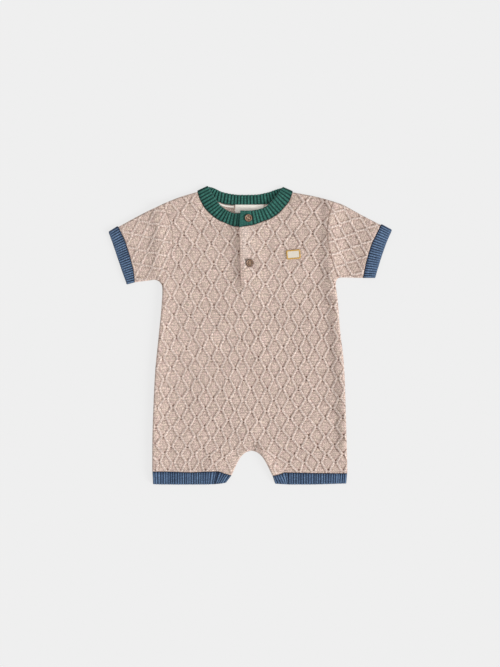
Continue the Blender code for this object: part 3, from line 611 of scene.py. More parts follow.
# Soft folds where seams are thick and where the cloth has settled: route, height, half width on
# the left of the route and on its right
CREASES = [
    ([(110.0, 205.0), (111.0, 170.0), (111.0, 120.0), (112.0, 90.0), (115.0, 60.0), (118.0, 36.0)],
     4.2, 13.0, 10.0),
    ([(117.0, 56.0), (119.0, 36.0), (122.0, -20.0), (128.5, -76.0), (130.5, -120.0),
      (131.0, -170.0)], 4.0, 13.0, 8.5),
    ([(-124.0, 90.0), (-124.5, 36.0), (-128.5, -6.0), (-133.0, -56.5), (-136.0, -132.0),
      (-136.5, -215.0)], 3.0, 14.0, 13.0),
    ([(-15.5, 176.0), (-15.0, 120.0), (-13.0, 94.0), (-8.0, 72.0)], 3.0, 13.0, 10.5),
    ([(-128.0, 195.0), (-128.0, 140.0), (-130.0, 76.0)], 2.8, 13.0, 10.0),
    ([(180.0, 162.0), (166.0, 118.0), (157.0, 80.0)], 2.6, 10.0, 10.0),
    ([(-1.0, -164.0), (14.0, -168.0), (23.0, -181.0), (30.0, -206.0)], 4.9, 13.0, 6.0),
    ([(-22.0, -150.0), (-4.0, -143.0), (14.0, -147.0)], 1.0, 20.0, 9.0),
    ([(-66.0, -204.0), (-56.0, -178.0), (-46.0, -156.0)], 0.9, 8.0, 8.0),
    ([(112.0, 78.0), (88.0, 52.0)], 0.5, 8.0, 8.0),
    ([(-116.0, 74.0), (-92.0, 50.0)], 0.5, 8.0, 8.0),
    ([(-80.0, -20.0), (-10.0, 40.0), (40.0, 90.0)], 0.35, 13.0, 13.0),
    ([(-30.0, -120.0), (30.0, -60.0), (84.0, 0.0)], 0.35, 14.0, 14.0),
    ([(-66.0, 186.0), (-118.0, 167.0)][::-1], 1.6, 11.0, 26.0),
    ([(52.0, 186.0), (116.0, 168.0), (176.0, 138.0)], 1.6, 11.0, 22.0),
]


def to_path(points, path):
    """Distance to a path, above 0 on its left, how far along it the nearest place is, and its
    length."""
    runs = run_of(path)
    best, along = np.full(len(points), np.inf), np.zeros(len(points))
    for start, end, run in zip(path, path[1:], runs):
        way = end - start
        offset = points - start
        part = np.clip(offset @ way / (way @ way), 0.0, 1.0)
        away = np.linalg.norm(offset - part[:, None] * way, axis=1)
        closer = away < np.abs(best)
        left = way[0] * offset[:, 1] > way[1] * offset[:, 0]
        best = np.where(closer, np.where(left, away, -away), best)
        along = np.where(closer, run + part * np.linalg.norm(way), along)
    return best, along, runs[-1]


def drape(points):
    """How far the upper layer is lifted at each place."""
    edge, _ = SILHOUETTE(points)
    lift = LIFT + RIPPLE * (1.0 + ripple(points, RIPPLE_SIZE, 31))
    for route, height, left, right in CREASES:
        away, along, total = to_path(points, spline(route, 3))
        ends = smooth(np.minimum(along, total - along) / CREASE_END)
        lift = lift + height * bell(away, np.where(away > 0.0, left, right)) * ends
    return np.maximum(lift, 0.0) * smooth(edge / LIFT_RUN)


def slit_x(y):
    down = (SLIT_TOP[1] - y) / (SLIT_TOP[1] - SLIT_END[1])
    return SLIT_TOP[0] + (SLIT_END[0] - SLIT_TOP[0]) * down


def rise(points):
    """How far the flap lifts the front, and the cloth beside the end of the slit with it."""
    x, y = points[:, 0], points[:, 1]
    across = 1.0 - smooth((x - FLAP_REACH) / FLAP_FALL)
    beside = np.clip(1.0 - (slit_x(y) - x) / FLAP_BESIDE, 0.0, 1.0) ** 2
    lift = FLAP_RISE * smooth((y - SLIT_END[1] + FLAP_START) / (FLAP_START + FLAP_FULL))
    return lift * np.where(x < slit_x(y), beside, across)


# Lattice ----------------------------------------------------------------------------------------

def mix(a, b, t):
    return a + (b - a) * t


def body_place(row, column):
    """Where a row and a column of the body's lattice cross, and the way across."""
    rows = BODY_ROWS
    low = max(i for i in range(len(rows) - 1) if rows[i][0] <= max(row, 0))
    a, b = np.array(rows[low]), np.array(rows[low + 1])
    entry = mix(a, b, (row - a[0]) / (b[0] - a[0]))
    span = min(max(int((column + 4) // 2), 0), 3)
    x = mix(entry[3 + span], entry[4 + span], (column - TABLE_COLUMNS[span]) / 2)
    middle = smooth(1.0 - abs(column) / 4.0)
    return np.array([x, mix(entry[1], entry[2], middle)]), np.array([1.0, 0.0])


def sleeve_place(lattice):
    node, down, across = (np.array(lattice[key]) for key in ("node", "row", "column"))

    def place(row, column):
        return node + down * row + across * column, across / np.linalg.norm(across)
    return place


class Lattice:
    """Ridges that travel from side to side and meet in pairs. Ridge n swings between columns
    n/2 and n/2 + 1/2. pressed says how far they stand at a place."""
    trim = None

    def __init__(self, place, rows, lines, pressed=None, offset=NODE_OFFSET, depth=1.0):
        crests, nodes, stray = [], [], {}
        chance = np.random.default_rng(3)
        for line in range(lines[0], lines[1] + 1):
            path = []
            for row in range(rows[0], rows[1] + 1):
                near = (row + line) % 2 == 0
                column = line / 2 if near else line / 2 + 0.5
                side = 1.0 if near else -1.0
                spot = stray.setdefault((row, column), chance.normal(0.0, NODE_JITTER, 2))
                node, across = place(row, column)
                path.append(node + spot + across * side * offset)
                if near:
                    nodes.append((*(node + spot), *across))
            crests.append(even(rounded(path, CORNER), CREST_STEP))
        self.setup(crests, pressed)
        nodes = np.array(nodes)
        down = np.stack([nodes[:, 3], -nodes[:, 2]], axis=1)
        down *= np.where(down[:, 1:] > 0, -1.0, 1.0)
        self.add_pits(nodes[:, :2], -down, depth)

    def setup(self, crests, pressed):
        self.crests = crests
        self.pressed = pressed
        self.spots = np.vstack([even(crest, 0.35) for crest in crests])
        self.near = Near(self.spots)
        self.marks = None

    def add_pits(self, nodes, up, depth):
        """Each pit and rung as its place, the way up, its height, width and length."""
        chance = np.random.default_rng(7)
        rows = []
        for table, sign in (([(at, depth, wide, long) for at, depth, wide, long in PITS], -1.0),
                            ([(at, high, RUNG_WIDE, RUNG_LONG) for at, high in RUNGS], 1.0)):
            for at, height, wide, long in table:
                sizes = height * chance.uniform(0.35, 1.25, len(nodes)) * sign * depth
                spots = nodes + up * (at + chance.normal(0.0, PIT_JITTER, len(nodes)))[:, None]
                rows.append(np.column_stack([spots, up, sizes,
                                             np.full(len(nodes), wide), np.full(len(nodes), long)]))
        self.marks = np.vstack(rows)
        self.near_node = Near(nodes)
        self.node_count = len(nodes)

    def points(self):
        """Rows of points along the ridges and at the pits."""
        rows = []
        for crest in self.crests:
            side = normals_of(crest)
            for offset in (0.0, 0.8, -0.8, 1.6, -1.6, 2.4, -2.4):
                rows.append(np.column_stack([crest + side * offset,
                                             np.full(len(crest), abs(offset))]))
        rows = np.vstack(rows)
        away, _ = self.near(rows[:, :2])
        rows = rows[away > rows[:, 2] - 0.25, :2]
        if self.marks is not None:
            ring = [(0.0, 0.0), (0.9, 0.0), (-0.9, 0.0), (0.0, 0.6), (0.0, -0.6)]
            rows = np.vstack([self.marks[:, :2] + np.array(spot) for spot in ring] + [rows])
        return rows

    def at_nodes(self, points):
        """Rungs (above 0) and pits (below 0) beside each place."""
        _, node = self.near_node(points)
        total = np.zeros(len(points))
        for first in range(0, len(self.marks), self.node_count):
            mark = self.marks[first + node]
            offset = points - mark[:, :2]
            along = (offset * mark[:, 2:4]).sum(axis=1)
            across = offset[:, 0] * mark[:, 3] - offset[:, 1] * mark[:, 2]
            total += mark[:, 4] * bell(along, mark[:, 6]) * bell(across, mark[:, 5])
        return total

    def relief(self, points):
        """Height of the lattice, how much of a ridge and how much of a hollow is at each place. The
        hollow is painted shade in the grooves and the pits. On a ridge's -X side, away from the key
        light, the groove is deeper and its painted shade darker."""
        away, spot = self.near(points)
        lee = 0.5 - 0.5 * (points[:, 0] - self.spots[spot, 0]) / np.maximum(away, 0.1)
        half = RIDGE_HALF * uneven(points, "width")
        ridge = np.maximum(1.0 - (away / half) ** 2, 0.0) * uneven(points, "crest")
        hollow = bell(away - HOLLOW_AT, HOLLOW_WIDE) * (HOLLOW_LEAST + HOLLOW_LEE * lee)
        hollow = np.maximum(hollow * uneven(points, "hollow"), 0.0)
        puff = smooth((away - HOLLOW_AT) / PUFF_RUN) * uneven(points, "puff")
        stand = 1.0 if self.pressed is None else self.pressed(points)
        stand = stand * (1.0 + SOFTER * points[:, 0] / CHEST_HALF)
        crest = size("ridge_height")
        height = stand * (crest * ridge - HOLLOW * hollow) + PUFF * puff
        mark = np.zeros(len(points)) if self.marks is None else self.at_nodes(points) * stand
        rung, pit = np.maximum(mark, 0.0), np.maximum(-mark, 0.0)
        rung = np.minimum(rung, np.maximum(crest - height, 0.0))
        height = height + rung - PIT_DEPTH * pit * (1.0 - PIT_FILLED * np.clip(ridge, 0.0, 1.0))
        ridge = np.clip((1.0 - CREST_SHARP * (1.0 - ridge)) * stand + rung, 0.0, CREST_MOST)
        # Painted shade: the hollow value darkens the grooves and the pits towards the shadow colour
        hollow = np.clip(HOLLOW_TONE * hollow * stand - rung, 0.0, 1.0)
        hollow += np.minimum(PIT_TONE * pit, 1.0)
        return height, ridge, np.clip(hollow, 0.0, 1.0)


class Ridges(Lattice):
    """Single ridges along paths of their own."""

    def __init__(self, paths):
        self.setup([curve(path, CREST_STEP) for path in paths], None)


GUSSET_LINE = Near(even(spline(GUSSET_SEAM["left"][1:4]), 0.3))


def selvedge_lines(points):
    """Depth of the furrows between the plain stitches of the flap's edge, with their painted shade, of
    the painted shade at the edge of the slit and where the cloth dips beside it, and of the furrow along
    the gusset's seam on the left. Below 0 it is painted light on the plain stitches at the top of the
    flap instead."""
    x, y = points[:, 0], points[:, 1]
    from_slit = x - slit_x(y)
    # Painted shade at the edge of the slit and in the lines between the selvedge's stitches
    depth = SLIT_TONE * bell(from_slit - 0.2, SEAM_LINE_WIDE)
    for reach in SELVEDGE_LINES:
        depth += LINE_TONE * bell(from_slit - reach, LINE_WIDE)
    lined = np.minimum(1.6 * depth, 1.0)
    depth += SLIT_SHADE * bell(from_slit, SLIT_SHADE_WIDE) * (from_slit < 0.0)
    depth = depth * smooth((y - SLIT_END[1] + 1.0) / 3.0)
    # Painted light on the plain stitches at the top of the flap
    light = bell(from_slit - FLAP_LIGHT_AT, FLAP_LIGHT_WIDE) * (from_slit > 0.0)
    light = light * smooth((y - FLAP_LIGHT_FROM) / FLAP_LIGHT_RUN)
    depth = depth - FLAP_LIGHT * light * (1.0 - lined)
    away, _ = GUSSET_LINE(points)
    return depth + GUSSET_TONE * bell(away, SEAM_LINE_WIDE)


def pressed(points):
    """How far the body's ridges stand: 0 on the flap's plain edge and under what is sewn on."""
    x, y = points[:, 0], points[:, 1]
    selvedge = (y > SLIT_END[1]) & (x > slit_x(y))
    stand = np.where(selvedge, smooth((x - slit_x(y) - SELVEDGE) / SELVEDGE_RUN), 1.0)
    for middle, radius in ((BUTTONS["button_lower"], BUTTON_RADIUS),
                           (PATCH["middle"], PATCH["size"][0] / 2 - 1.0)):
        away = np.linalg.norm(points - np.array(middle), axis=1)
        stand = stand * smooth((away - radius + 1.0) / PRESS_MARGIN)
    return stand


# Meshes -----------------------------------------------------------------------------------------

def triangulate(outline, inner):
    """Triangles over an outline with more points inside it. Returns the places, the triangles and
    the index of each point of the outline."""
    count = len(outline.points)
    points = [Vector(p) for p in np.vstack([outline.points, inner]).tolist()]
    found, _, faces, sources, _, _ = delaunay_2d_cdt(points, [], [list(range(count))], 1, SNAP)
    rim = np.full(count, -1)
    for i, source in enumerate(sources):
        for s in source:
            if s < count:
                rim[s] = i
    used = np.zeros(len(found), bool)
    faces = np.array(faces)
    used[faces.ravel()] = True
    places = np.array([tuple(p) for p in found])
    renumber = np.cumsum(used) - 1
    return places[used], renumber[faces], renumber[rim]


class Shell:
    """Collects the vertices, faces and values of one piece."""

    def __init__(self):
        self.vertices, self.faces, self.count = [], [], 0
        self.values = {"ridge": [], "hollow": []}
        self.stitches = []

    def add(self, vertices, ridge=None, hollow=None, stitches=None):
        vertices = np.asarray(vertices, float)
        number = len(vertices)
        self.vertices.append(vertices)
        self.values["ridge"].append(np.zeros(number) if ridge is None else ridge)
        self.values["hollow"].append(np.zeros(number) if hollow is None else hollow)
        self.stitches.append(vertices.copy() if stitches is None else stitches)
        self.count += number
        return self.count - number

    def strip(self, lower, upper, closed=True):
        """Quads between two rows of vertices. They face out when the lower row runs
        counter-clockwise round the piece."""
        lower, upper = np.asarray(lower), np.asarray(upper)
        if closed:
            quads = np.stack([lower, np.roll(lower, -1), np.roll(upper, -1), upper], axis=1)
        else:
            quads = np.stack([lower[:-1], lower[1:], upper[1:], upper[:-1]], axis=1)
        self.faces += quads.tolist()

    def finish(self, name, key, slot=None):
        """Makes the piece in the material of that key. slot is not used."""
        vertices = np.vstack(self.vertices) * MM
        mesh = bpy.data.meshes.new(name)
        mesh.from_pydata(vertices.tolist(), [], self.faces)
        mesh.validate()
        for name_of, parts in self.values.items():
            values = np.concatenate(parts).astype(np.float32)
            mesh.attributes.new(name_of, "FLOAT", "POINT").data.foreach_set("value", values)
        stitches = np.vstack(self.stitches).astype(np.float32)
        mesh.attributes.new("stitches", "FLOAT_VECTOR", "POINT").data.foreach_set(
            "vector", stitches.ravel())
        mesh.shade_smooth()
        return add_piece(name, mesh, key)


def add_object(name, data):
    obj = bpy.data.objects.new(name, data)
    bpy.context.scene.collection.objects.link(obj)
    return obj


def add_piece(name, mesh, key):
    mesh.materials.clear()
    mesh.materials.append(material(key))
    piece = add_object(name, mesh)
    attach(piece, "root")
    return piece


def fine_points(outline, relief):
    """Points for a side that shows its lattice, or plain knitting where relief is None."""
    ring = outline.rings()
    ring = ring[outline.edge(ring)[0] > RING_CLEAR]
    parts = [ring]
    grid = outline.within(hexagons(outline.low, outline.high, CELL_STEP), CELL_CLEAR)
    if relief is not None:
        parts.insert(0, outline.within(relief.points(), RIDGE_CLEAR))
        grid = grid[relief.near(grid)[0] > CELL_FROM_RIDGE]
    return thinned(np.vstack(parts + [grid]))


def coarse_points(outline):
    return outline.within(hexagons(outline.low, outline.high, COARSE_STEP), COARSE_STEP * 0.6)


def upper_rim(height, away, kinds, bottom):
    """Brings an upper side down along its edges."""
    soft = 1.0 - bulge(away, SEAM_ROUND)
    turning = bulge(away, FOLD_ROUND)
    edges = {
        "side": mix(bottom + FOLD_HALF, height, turning),
        "fold": mix(MIDDLE, height, turning),
        "free": mix(height, bottom + WALL * RIM_HALF, soft),
        "flush": height - FLUSH_DROP * soft,
    }
    return np.select([kinds == kind for kind in edges], list(edges.values()), height - SEAM_DROP * soft)


def as_places(points, heights):
    return np.column_stack([points, heights])


def upper_side(outline, relief, lift, bottom):
    """Places, triangles and rim of a wall's upper side, with its ridges and hollows."""
    inner = fine_points(outline, relief)
    points, faces, rim = triangulate(outline, inner)
    away, kinds = outline.edge(points)
    height = bottom + WALL + lift(points)
    ridge = hollow = np.zeros(len(points))
    if relief is not None:
        bump, ridge, hollow = relief.relief(points)
        if relief.trim is not None:
            furrow = relief.trim(points)
            # The trim's furrows sink and get painted shade; below 0 the trim is painted light in the
            # crest colour
            light, furrow = np.maximum(-furrow, 0.0), np.maximum(furrow, 0.0)
            bump = bump - FURROW_DEPTH * furrow
            ridge = ridge + FURROW_TONE * light
            hollow = np.clip(hollow + FURROW_TONE * furrow, 0.0, 1.0)
        height = height + bump * smooth(away / RELIEF_RUN)
    height = upper_rim(height, away, kinds, bottom + lift(points))
    # Painted shade along the edges: the ridges' tone fades and the hollows darken there
    tone = np.array([EDGE_TONE[kind] for kind in kinds]) * bell(away, EDGE_TONE_WIDE)
    ridge, hollow = ridge * (1.0 - tone), np.clip(hollow + tone, 0.0, 1.0)
    return as_places(points, height), faces, rim, ridge, hollow


def add_wall(shell, outline, relief, lift, bottom):
    """A wall of cloth with relief on its upper side."""
    places, faces, rim, ridge, hollow = upper_side(outline, relief, lift, bottom)
    first = shell.add(places, ridge, hollow)
    shell.faces += (faces + first).tolist()
    top = rim + first
    points, faces, rim = triangulate(outline, coarse_points(outline))
    below = as_places(points, bottom + lift(points))
    first = shell.add(below)
    shell.faces += (faces[:, ::-1] + first).tolist()
    shell.strip(rim + first, top)


def drop_to_floor(outline, relief):
    """Places, triangles and rim of a lower side that rests on the floor, its lattice pressed
    flat against it."""
    inner = fine_points(outline, relief) if relief is not None else coarse_points(outline)
    points, faces, rim = triangulate(outline, inner)
    away, kinds = outline.edge(points)
    ridge = hollow = np.zeros(len(points))
    height = np.zeros(len(points))
    if relief is not None:
        bump, ridge, hollow = relief.relief(points)
        height = PRESSED * np.clip(size("ridge_height") - bump, 0.0, PRESSED_MOST)
        height = height * smooth(away / RELIEF_RUN)
    seam = height + GAP * (1.0 - bulge(away, SEAM_ROUND))
    side = mix(WALL - FOLD_HALF, height, bulge(away, FOLD_ROUND))
    fold = mix(MIDDLE, height, bulge(away, FOLD_ROUND))
    height = np.select([kinds == "side", kinds == "fold"], [side, fold], seam)
    return as_places(points, height), faces, rim, ridge, hollow


# Materials --------------------------------------------------------------------------------------

def feed(tree, socket, value):
    """Gives an input a number, a colour, another node's output, or a node, which stands for its
    first output in use."""
    if isinstance(value, bpy.types.Node):
        value = next(output for output in value.outputs if output.enabled)
    if isinstance(value, bpy.types.NodeSocket):
        tree.links.new(value, socket)
    else:
        socket.default_value = value


def add_node(tree, kind, *values, **named):
    """Adds a node. values fill the inputs in use, in their order. A name with a small first letter
    is a setting of the node, and any other is an input."""
    node = tree.nodes.new("ShaderNode" + kind)
    for key, value in named.items():
        if key[0].islower():
            setattr(node, key, value)
        else:
            feed(tree, node.inputs[key], value)
    in_use = [socket for socket in node.inputs if socket.enabled]
    for socket, value in zip(in_use, values):
        feed(tree, socket, value)
    return node


def new_material(name, roughness, sheen=0.0, gloss=0.25):
    material = bpy.data.materials.new(name)
    material.use_nodes = True
    tree = material.node_tree
    shader = tree.nodes["Principled BSDF"]
    for key, value in (("Roughness", roughness), ("Specular IOR Level", gloss),
                       ("Sheen Weight", sheen), ("Sheen Roughness", 0.5)):
        shader.inputs[key].default_value = value
    return material, tree, shader


def cloth_surface(tree, shader, colour, tone, relief, strength, depth):
    """Gives the shader the colour times a grey tone, and a relief of that depth."""
    grey = add_node(tree, "CombineColor", tone, tone, tone)
    shaded = add_node(tree, "Mix", 1.0, colour, grey, data_type="RGBA", blend_type="MULTIPLY")
    bump = add_node(tree, "Bump", Height=relief, Strength=strength, Distance=depth * MM)
    feed(tree, shader.inputs["Base Color"], shaded)
    feed(tree, shader.inputs["Normal"], bump)


def stitch_height(tree, wale, course, sway):
    """Rows of knit stitches, from 0 to 1: a wale is high in the middle and parted from the next by
    a groove, and its two legs slant up and out from each course to the next."""
    add = partial(add_node, tree)
    place = add("Attribute", attribute_name="stitches").outputs["Vector"]
    drift = add("TexNoise", Vector=place, Scale=0.09, Detail=1.0).outputs["Color"]
    place = add("VectorMath", drift, (sway, 9.0, 0.0), place, operation="MULTIPLY_ADD")
    split = add("SeparateXYZ", place)
    across = add("Math", split.outputs["X"], wale, operation="DIVIDE")
    across = add("Math", across, operation="FRACT")
    leg = add("Math", across, 2.0, -1.0, operation="MULTIPLY_ADD")
    leg = add("Math", leg, operation="ABSOLUTE")
    along = add("Math", split.outputs["Y"], course, operation="DIVIDE")
    turn = add("Math", leg, 0.5, along, operation="MULTIPLY_ADD")
    turn = add("Math", turn, math.tau, operation="MULTIPLY")
    beat = add("Math", turn, operation="COSINE")
    body = add("Math", beat, 0.4, 0.6, operation="MULTIPLY_ADD")
    crown = add("Math", leg, leg, operation="MULTIPLY")
    crown = add("Math", crown, -0.5, 1.0, operation="MULTIPLY_ADD")
    return place, add("Math", crown, body, operation="MULTIPLY")


YARN_TONES = ("_yarn", "_fleck", "_crest", "_shadow")
STITCH_DEPTH = 0.2
STITCH_SPREAD = 0.42  # how much stitches differ in tone, the yarn within them, and parts of the cloth
YARN_SPREAD = 0.35
CLOTH_SPREAD = 0.20


def knitted_cotton(name, colours, wale, course, contrast, sway=9.0):
    """Combed cotton yarn, knitted. Soft and matt, with a faint halo of fibres that the sheen
    gives, and light and dark stitches from the twist of the yarn. Stitches are drawn coarser than
    real ones, because they would not show otherwise."""
    material, tree, shader = new_material(name, 0.92, 0.12)
    add = partial(add_node, tree)
    place, stitches = stitch_height(tree, wale, course, sway)
    cell, other, crest, deep = colours
    fleck = add("TexNoise", Vector=place, Scale=0.22, Detail=3.0)
    fleck = add("Math", fleck, 3.0, -1.0, operation="MULTIPLY_ADD")
    colour = add("Mix", fleck, cell, other, data_type="RGBA")
    # The ridge value mixes in the crest colour: the lighter yarn of the lattice's ridges, painted
    # highlight on the ribs' tops and painted light on the flap. The hollow value mixes in the shadow
    # colour, as painted shade
    for value, tone in (("ridge", crest), ("hollow", deep)):
        amount = add("Attribute", attribute_name=value).outputs["Fac"]
        colour = add("Mix", amount, colour, tone, data_type="RGBA")
    grid = add("VectorMath", place, (wale / 2, course / 2, 1.0), operation="DIVIDE")
    grid = add("VectorMath", grid, operation="FLOOR")
    each = add("TexWhiteNoise", grid, noise_dimensions="2D")
    speckle = add("TexNoise", Vector=place, Scale=0.65, Detail=3.0)
    patches = add("TexNoise", Vector=place, Scale=0.06, Detail=2.0)
    # Painted shade between the stitches: the tone follows the stitches' height, by contrast; the three
    # noises are random tone of the yarn and the cloth
    tone = add("Math", stitches, contrast, 1.0 - contrast / 2, operation="MULTIPLY_ADD")
    for noise, spread in ((each, STITCH_SPREAD), (speckle, YARN_SPREAD), (patches, CLOTH_SPREAD)):
        share = add("Math", noise, spread, 1.0 - spread / 2, operation="MULTIPLY_ADD")
        tone = add("Math", tone, share, operation="MULTIPLY")
    cloth_surface(tree, shader, colour, tone, stitches, 0.8, STITCH_DEPTH)
    return material


def woven_cloth(name, colour, thread=0.5):
    """Plain-woven cotton tape: a fine grid of threads, nearly smooth."""
    material, tree, shader = new_material(name, 0.8, 0.05)
    add = partial(add_node, tree)
    place = add("Attribute", attribute_name="stitches").outputs["Vector"]
    split = add("SeparateXYZ", place)
    waves = []
    for axis in ("X", "Y"):
        wave = add("Math", split.outputs[axis], math.pi / thread, operation="MULTIPLY")
        waves.append(add("Math", wave, operation="SINE"))
    weave = add("Math", *waves, operation="MULTIPLY")
    speckle = add("TexNoise", Vector=place, Scale=0.8, Detail=2.0)
    tone = add("Math", speckle, 0.16, 0.92, operation="MULTIPLY_ADD")
    cloth_surface(tree, shader, colour, tone, weave, 0.4, 0.1)
    return material


def polished_horn(name, colours):
    """Horn, turned and polished: streaks of light and dark brown under a satin gloss, with painted shade
    on the rim and in the well.
    """
    light, dark, shadow = colours
    material, tree, shader = new_material(name, 0.38, gloss=0.5)
    place = add_node(tree, "TexCoord").outputs["Object"]
    streaks = add_node(tree, "TexNoise", Vector=place, Scale=260.0, Detail=4.0)
    hollow = add_node(tree, "Attribute", attribute_name="hollow").outputs["Fac"]
    colour = add_node(tree, "Mix", streaks, light, dark, data_type="RGBA")
    colour = add_node(tree, "Mix", hollow, colour, shadow, data_type="RGBA")
    feed(tree, shader.inputs["Base Color"], colour)
    return material


def painted_floor(name, colour, own=0.85):
    """Smooth matt paper, in one pale tone, on a light table: much of its light comes from below."""
    material, _, shader = new_material(name, 1.0, gloss=0.0)
    shader.inputs["Base Color"].default_value = (*(v * (1.0 - own) for v in colour[:3]), 1.0)
    shader.inputs["Emission Color"].default_value = colour
    shader.inputs["Emission Strength"].default_value = own
    return material


_made = {}


def material(key):
    """Each material is made once, in the colours of the settings."""
    def tones(*keys):
        return [tuple(getattr(bpy.context.scene.romper_colours, key)) for key in keys]

    def knit(name, colour, *sizes, **more):
        return knitted_cotton(name, tones(*(colour + part for part in YARN_TONES)), *sizes, **more)

    makers = {
        "taupe_knit": lambda: knit("combed cotton, knitted", "taupe", size("wale"), size("course"),
                                   0.62),
        "blue_rib": lambda: knit("dyed cotton rib, blue", "blue", size("rib_pitch"), 2.4, 0.65,
                                 sway=1.0),
        "green_rib": lambda: knit("dyed cotton rib, green", "green", size("neck_rib_pitch"), 3.2,
                                  0.5, sway=1.0),
        "cream_tape": lambda: woven_cloth("bleached cotton tape", *tones("cream")),
        "patch_weave": lambda: woven_cloth("woven polyester", *tones("patch"), 0.4),
        "mustard_thread": lambda: woven_cloth("rayon embroidery thread", *tones("mustard"), 0.4),
        "horn_button": lambda: polished_horn("polished horn",
                                             tones("horn_light", "horn_dark", "horn_shadow")),
        "sewing_thread": lambda: woven_cloth("spun sewing thread", *tones("thread"), 0.4),
        "floor": lambda: painted_floor("matt paper", *tones("floor")),
    }
    if key not in _made:
        _made[key] = makers[key]()
    return _made[key]


# Pieces -----------------------------------------------------------------------------------------

def body_lattice(**more):
    return Lattice(body_place, BODY_SPAN["rows"], BODY_SPAN["lines"], **more)


def make_front():
    half = SLIT_WIDTH / 2
    left, right = curve(NECK_FRONT["left"]), curve(NECK_FRONT["right"])
    slit = np.array([left[-1], (slit_x(SLIT_END[1]) + half, SLIT_END[1]),
                     (SLIT_END[0] - half, SLIT_END[1]), right[-1]])
    neck = [(left, "seam"), (even(slit[:2], STEP), "flush"), (slit[1:3], "flush"),
            (even(slit[2:], STEP), "flush"), (backwards(right), "seam")]
    outline = body_outline(neck)
    lattice = body_lattice(pressed=pressed)
    lattice.trim = selvedge_lines
    shell = Shell()
    add_wall(shell, outline, lattice, lambda p: rise(p) + drape(p), FRONT_BOTTOM)
    piece = shell.finish("front", "taupe_knit")
    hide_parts("front_panel")
    tuple(outline.size)
    outline.area


def make_back():
    outline = body_outline([(backwards(curve(NECK_BACK)), "seam")])
    shell = Shell()
    places, faces, rim, ridge, hollow = drop_to_floor(outline, body_lattice())
    first = shell.add(places, ridge, hollow)
    shell.faces += (faces[:, ::-1] + first).tolist()
    under = rim + first
    points, faces, rim = triangulate(outline, coarse_points(outline))
    away, kinds = outline.edge(points)
    height = np.where(kinds == "fold", mix(MIDDLE, WALL, bulge(away, 1.0)), WALL)
    first = shell.add(as_places(points, height))
    shell.faces += (faces + first).tolist()
    shell.strip(under, rim + first)
    piece = shell.finish("back", "taupe_knit")
    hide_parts("back_panel")
    tuple(outline.size)
    outline.area
    [make_tape(name, path) for name, path in TAPES.items()]


def make_underlap():
    corners = np.array(UNDERLAP + UNDERLAP[:1])
    outline = Outline([(even(np.array(pair), STEP), "free") for pair in zip(corners, corners[1:])])
    shell = Shell()
    add_wall(shell, outline, None, drape, FRONT_BOTTOM)
    piece = shell.finish("underlap", "taupe_knit")
    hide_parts("placket_underlap")
    tuple(outline.size)
    outline.area


def add_tube(shell, outline, relief, turn=np.eye(3)):
    """Two layers of cloth that lie on each other, folded at the outline's folds and open at
    its seams. turn is how its rows of stitches lie."""
    count = len(outline.points)
    folds = outline.kinds == "fold"
    shared = folds | np.roll(folds, 1)
    places, faces, rim, ridge, hollow = upper_side(outline, relief, drape, FRONT_BOTTOM)
    places[rim[shared], 2] = MIDDLE
    first = shell.add(places, ridge, hollow, places @ turn.T)
    shell.faces += (faces + first).tolist()
    top = rim + first
    places, faces, rim, ridge, hollow = drop_to_floor(outline, relief)
    first = shell.add(places, ridge, hollow, places @ turn.T)
    under = rim + first
    renamed = np.arange(shell.count)
    renamed[under[shared]] = top[shared]
    shell.faces += renamed[(faces[:, ::-1] + first)].tolist()
    under = renamed[under]
    slot = Outline(slot_sides(outline, folds))
    rings = []
    for height, facing in ((lambda p: FRONT_BOTTOM + drape(p), -1),
                           (lambda p: np.full(len(p), WALL), 1)):
        points, faces, rim = triangulate(slot, coarse_points(slot))
        first = shell.add(as_places(points, height(points)))
        shell.faces += (faces[:, ::facing] + first).tolist()
        rings.append(rim + first)
    ceiling, floor = rings
    spots = {tuple(np.round(p, 4)): i for i, p in enumerate(slot.points)}
    inner = [spots.get(tuple(np.round(p, 4)), -1) for p in outline.points]
    for i in np.flatnonzero(~folds):
        j = (i + 1) % count
        a, b = inner[i], inner[j]
        if a >= 0 and b >= 0:
            shell.faces += [[ceiling[a], ceiling[b], top[j], top[i]],
                            [under[i], under[j], floor[b], floor[a]]]
        elif a >= 0:
            shell.faces.append(ring_face([under[i], under[j], top[j], top[i], ceiling[a], floor[a]]))
        elif b >= 0:
            shell.faces.append(ring_face([under[i], under[j], floor[b], ceiling[b], top[j], top[i]]))
        else:
            shell.faces.append(ring_face([under[i], under[j], top[j], top[i]]))
    on_seam = {a for a in inner if a >= 0}
    for i in range(len(slot.points)):
        j = (i + 1) % len(slot.points)
        if not (i in on_seam and j in on_seam):
            shell.faces.append([floor[j], ceiling[j], ceiling[i], floor[i]])


def ring_face(indices):
    """A face without the corners that are named twice."""
    face = []
    for index in indices:
        if index not in face:
            face.append(int(index))
    return face


def slot_sides(outline, folds):
    """The outline of the space between the two layers: the seams, and the folds a wall's
    thickness further in."""
    away, _ = Near(even(outline.points[folds], 0.4))(outline.points)
    keep = ~(folds | np.roll(folds, 1)) & (away > WALL)
    inward = outline.points + normals_of(outline.points, closed=True) * WALL
    clear = outline.edge(inward)[0] > WALL - 0.08
    start = int(np.flatnonzero(keep & ~np.roll(keep, 1))[0])
    places, kinds = [], []
    for i in np.roll(np.arange(len(folds)), -start):
        if keep[i]:
            places.append(outline.points[i])
            kinds.append("seam")
        elif folds[i] and clear[i] and folds[i - 1]:
            places.append(inward[i])
            kinds.append("fold")
    pairs = zip(places, places[1:] + places[:1])
    return [(np.vstack(pair), kind) for pair, kind in zip(pairs, kinds)]


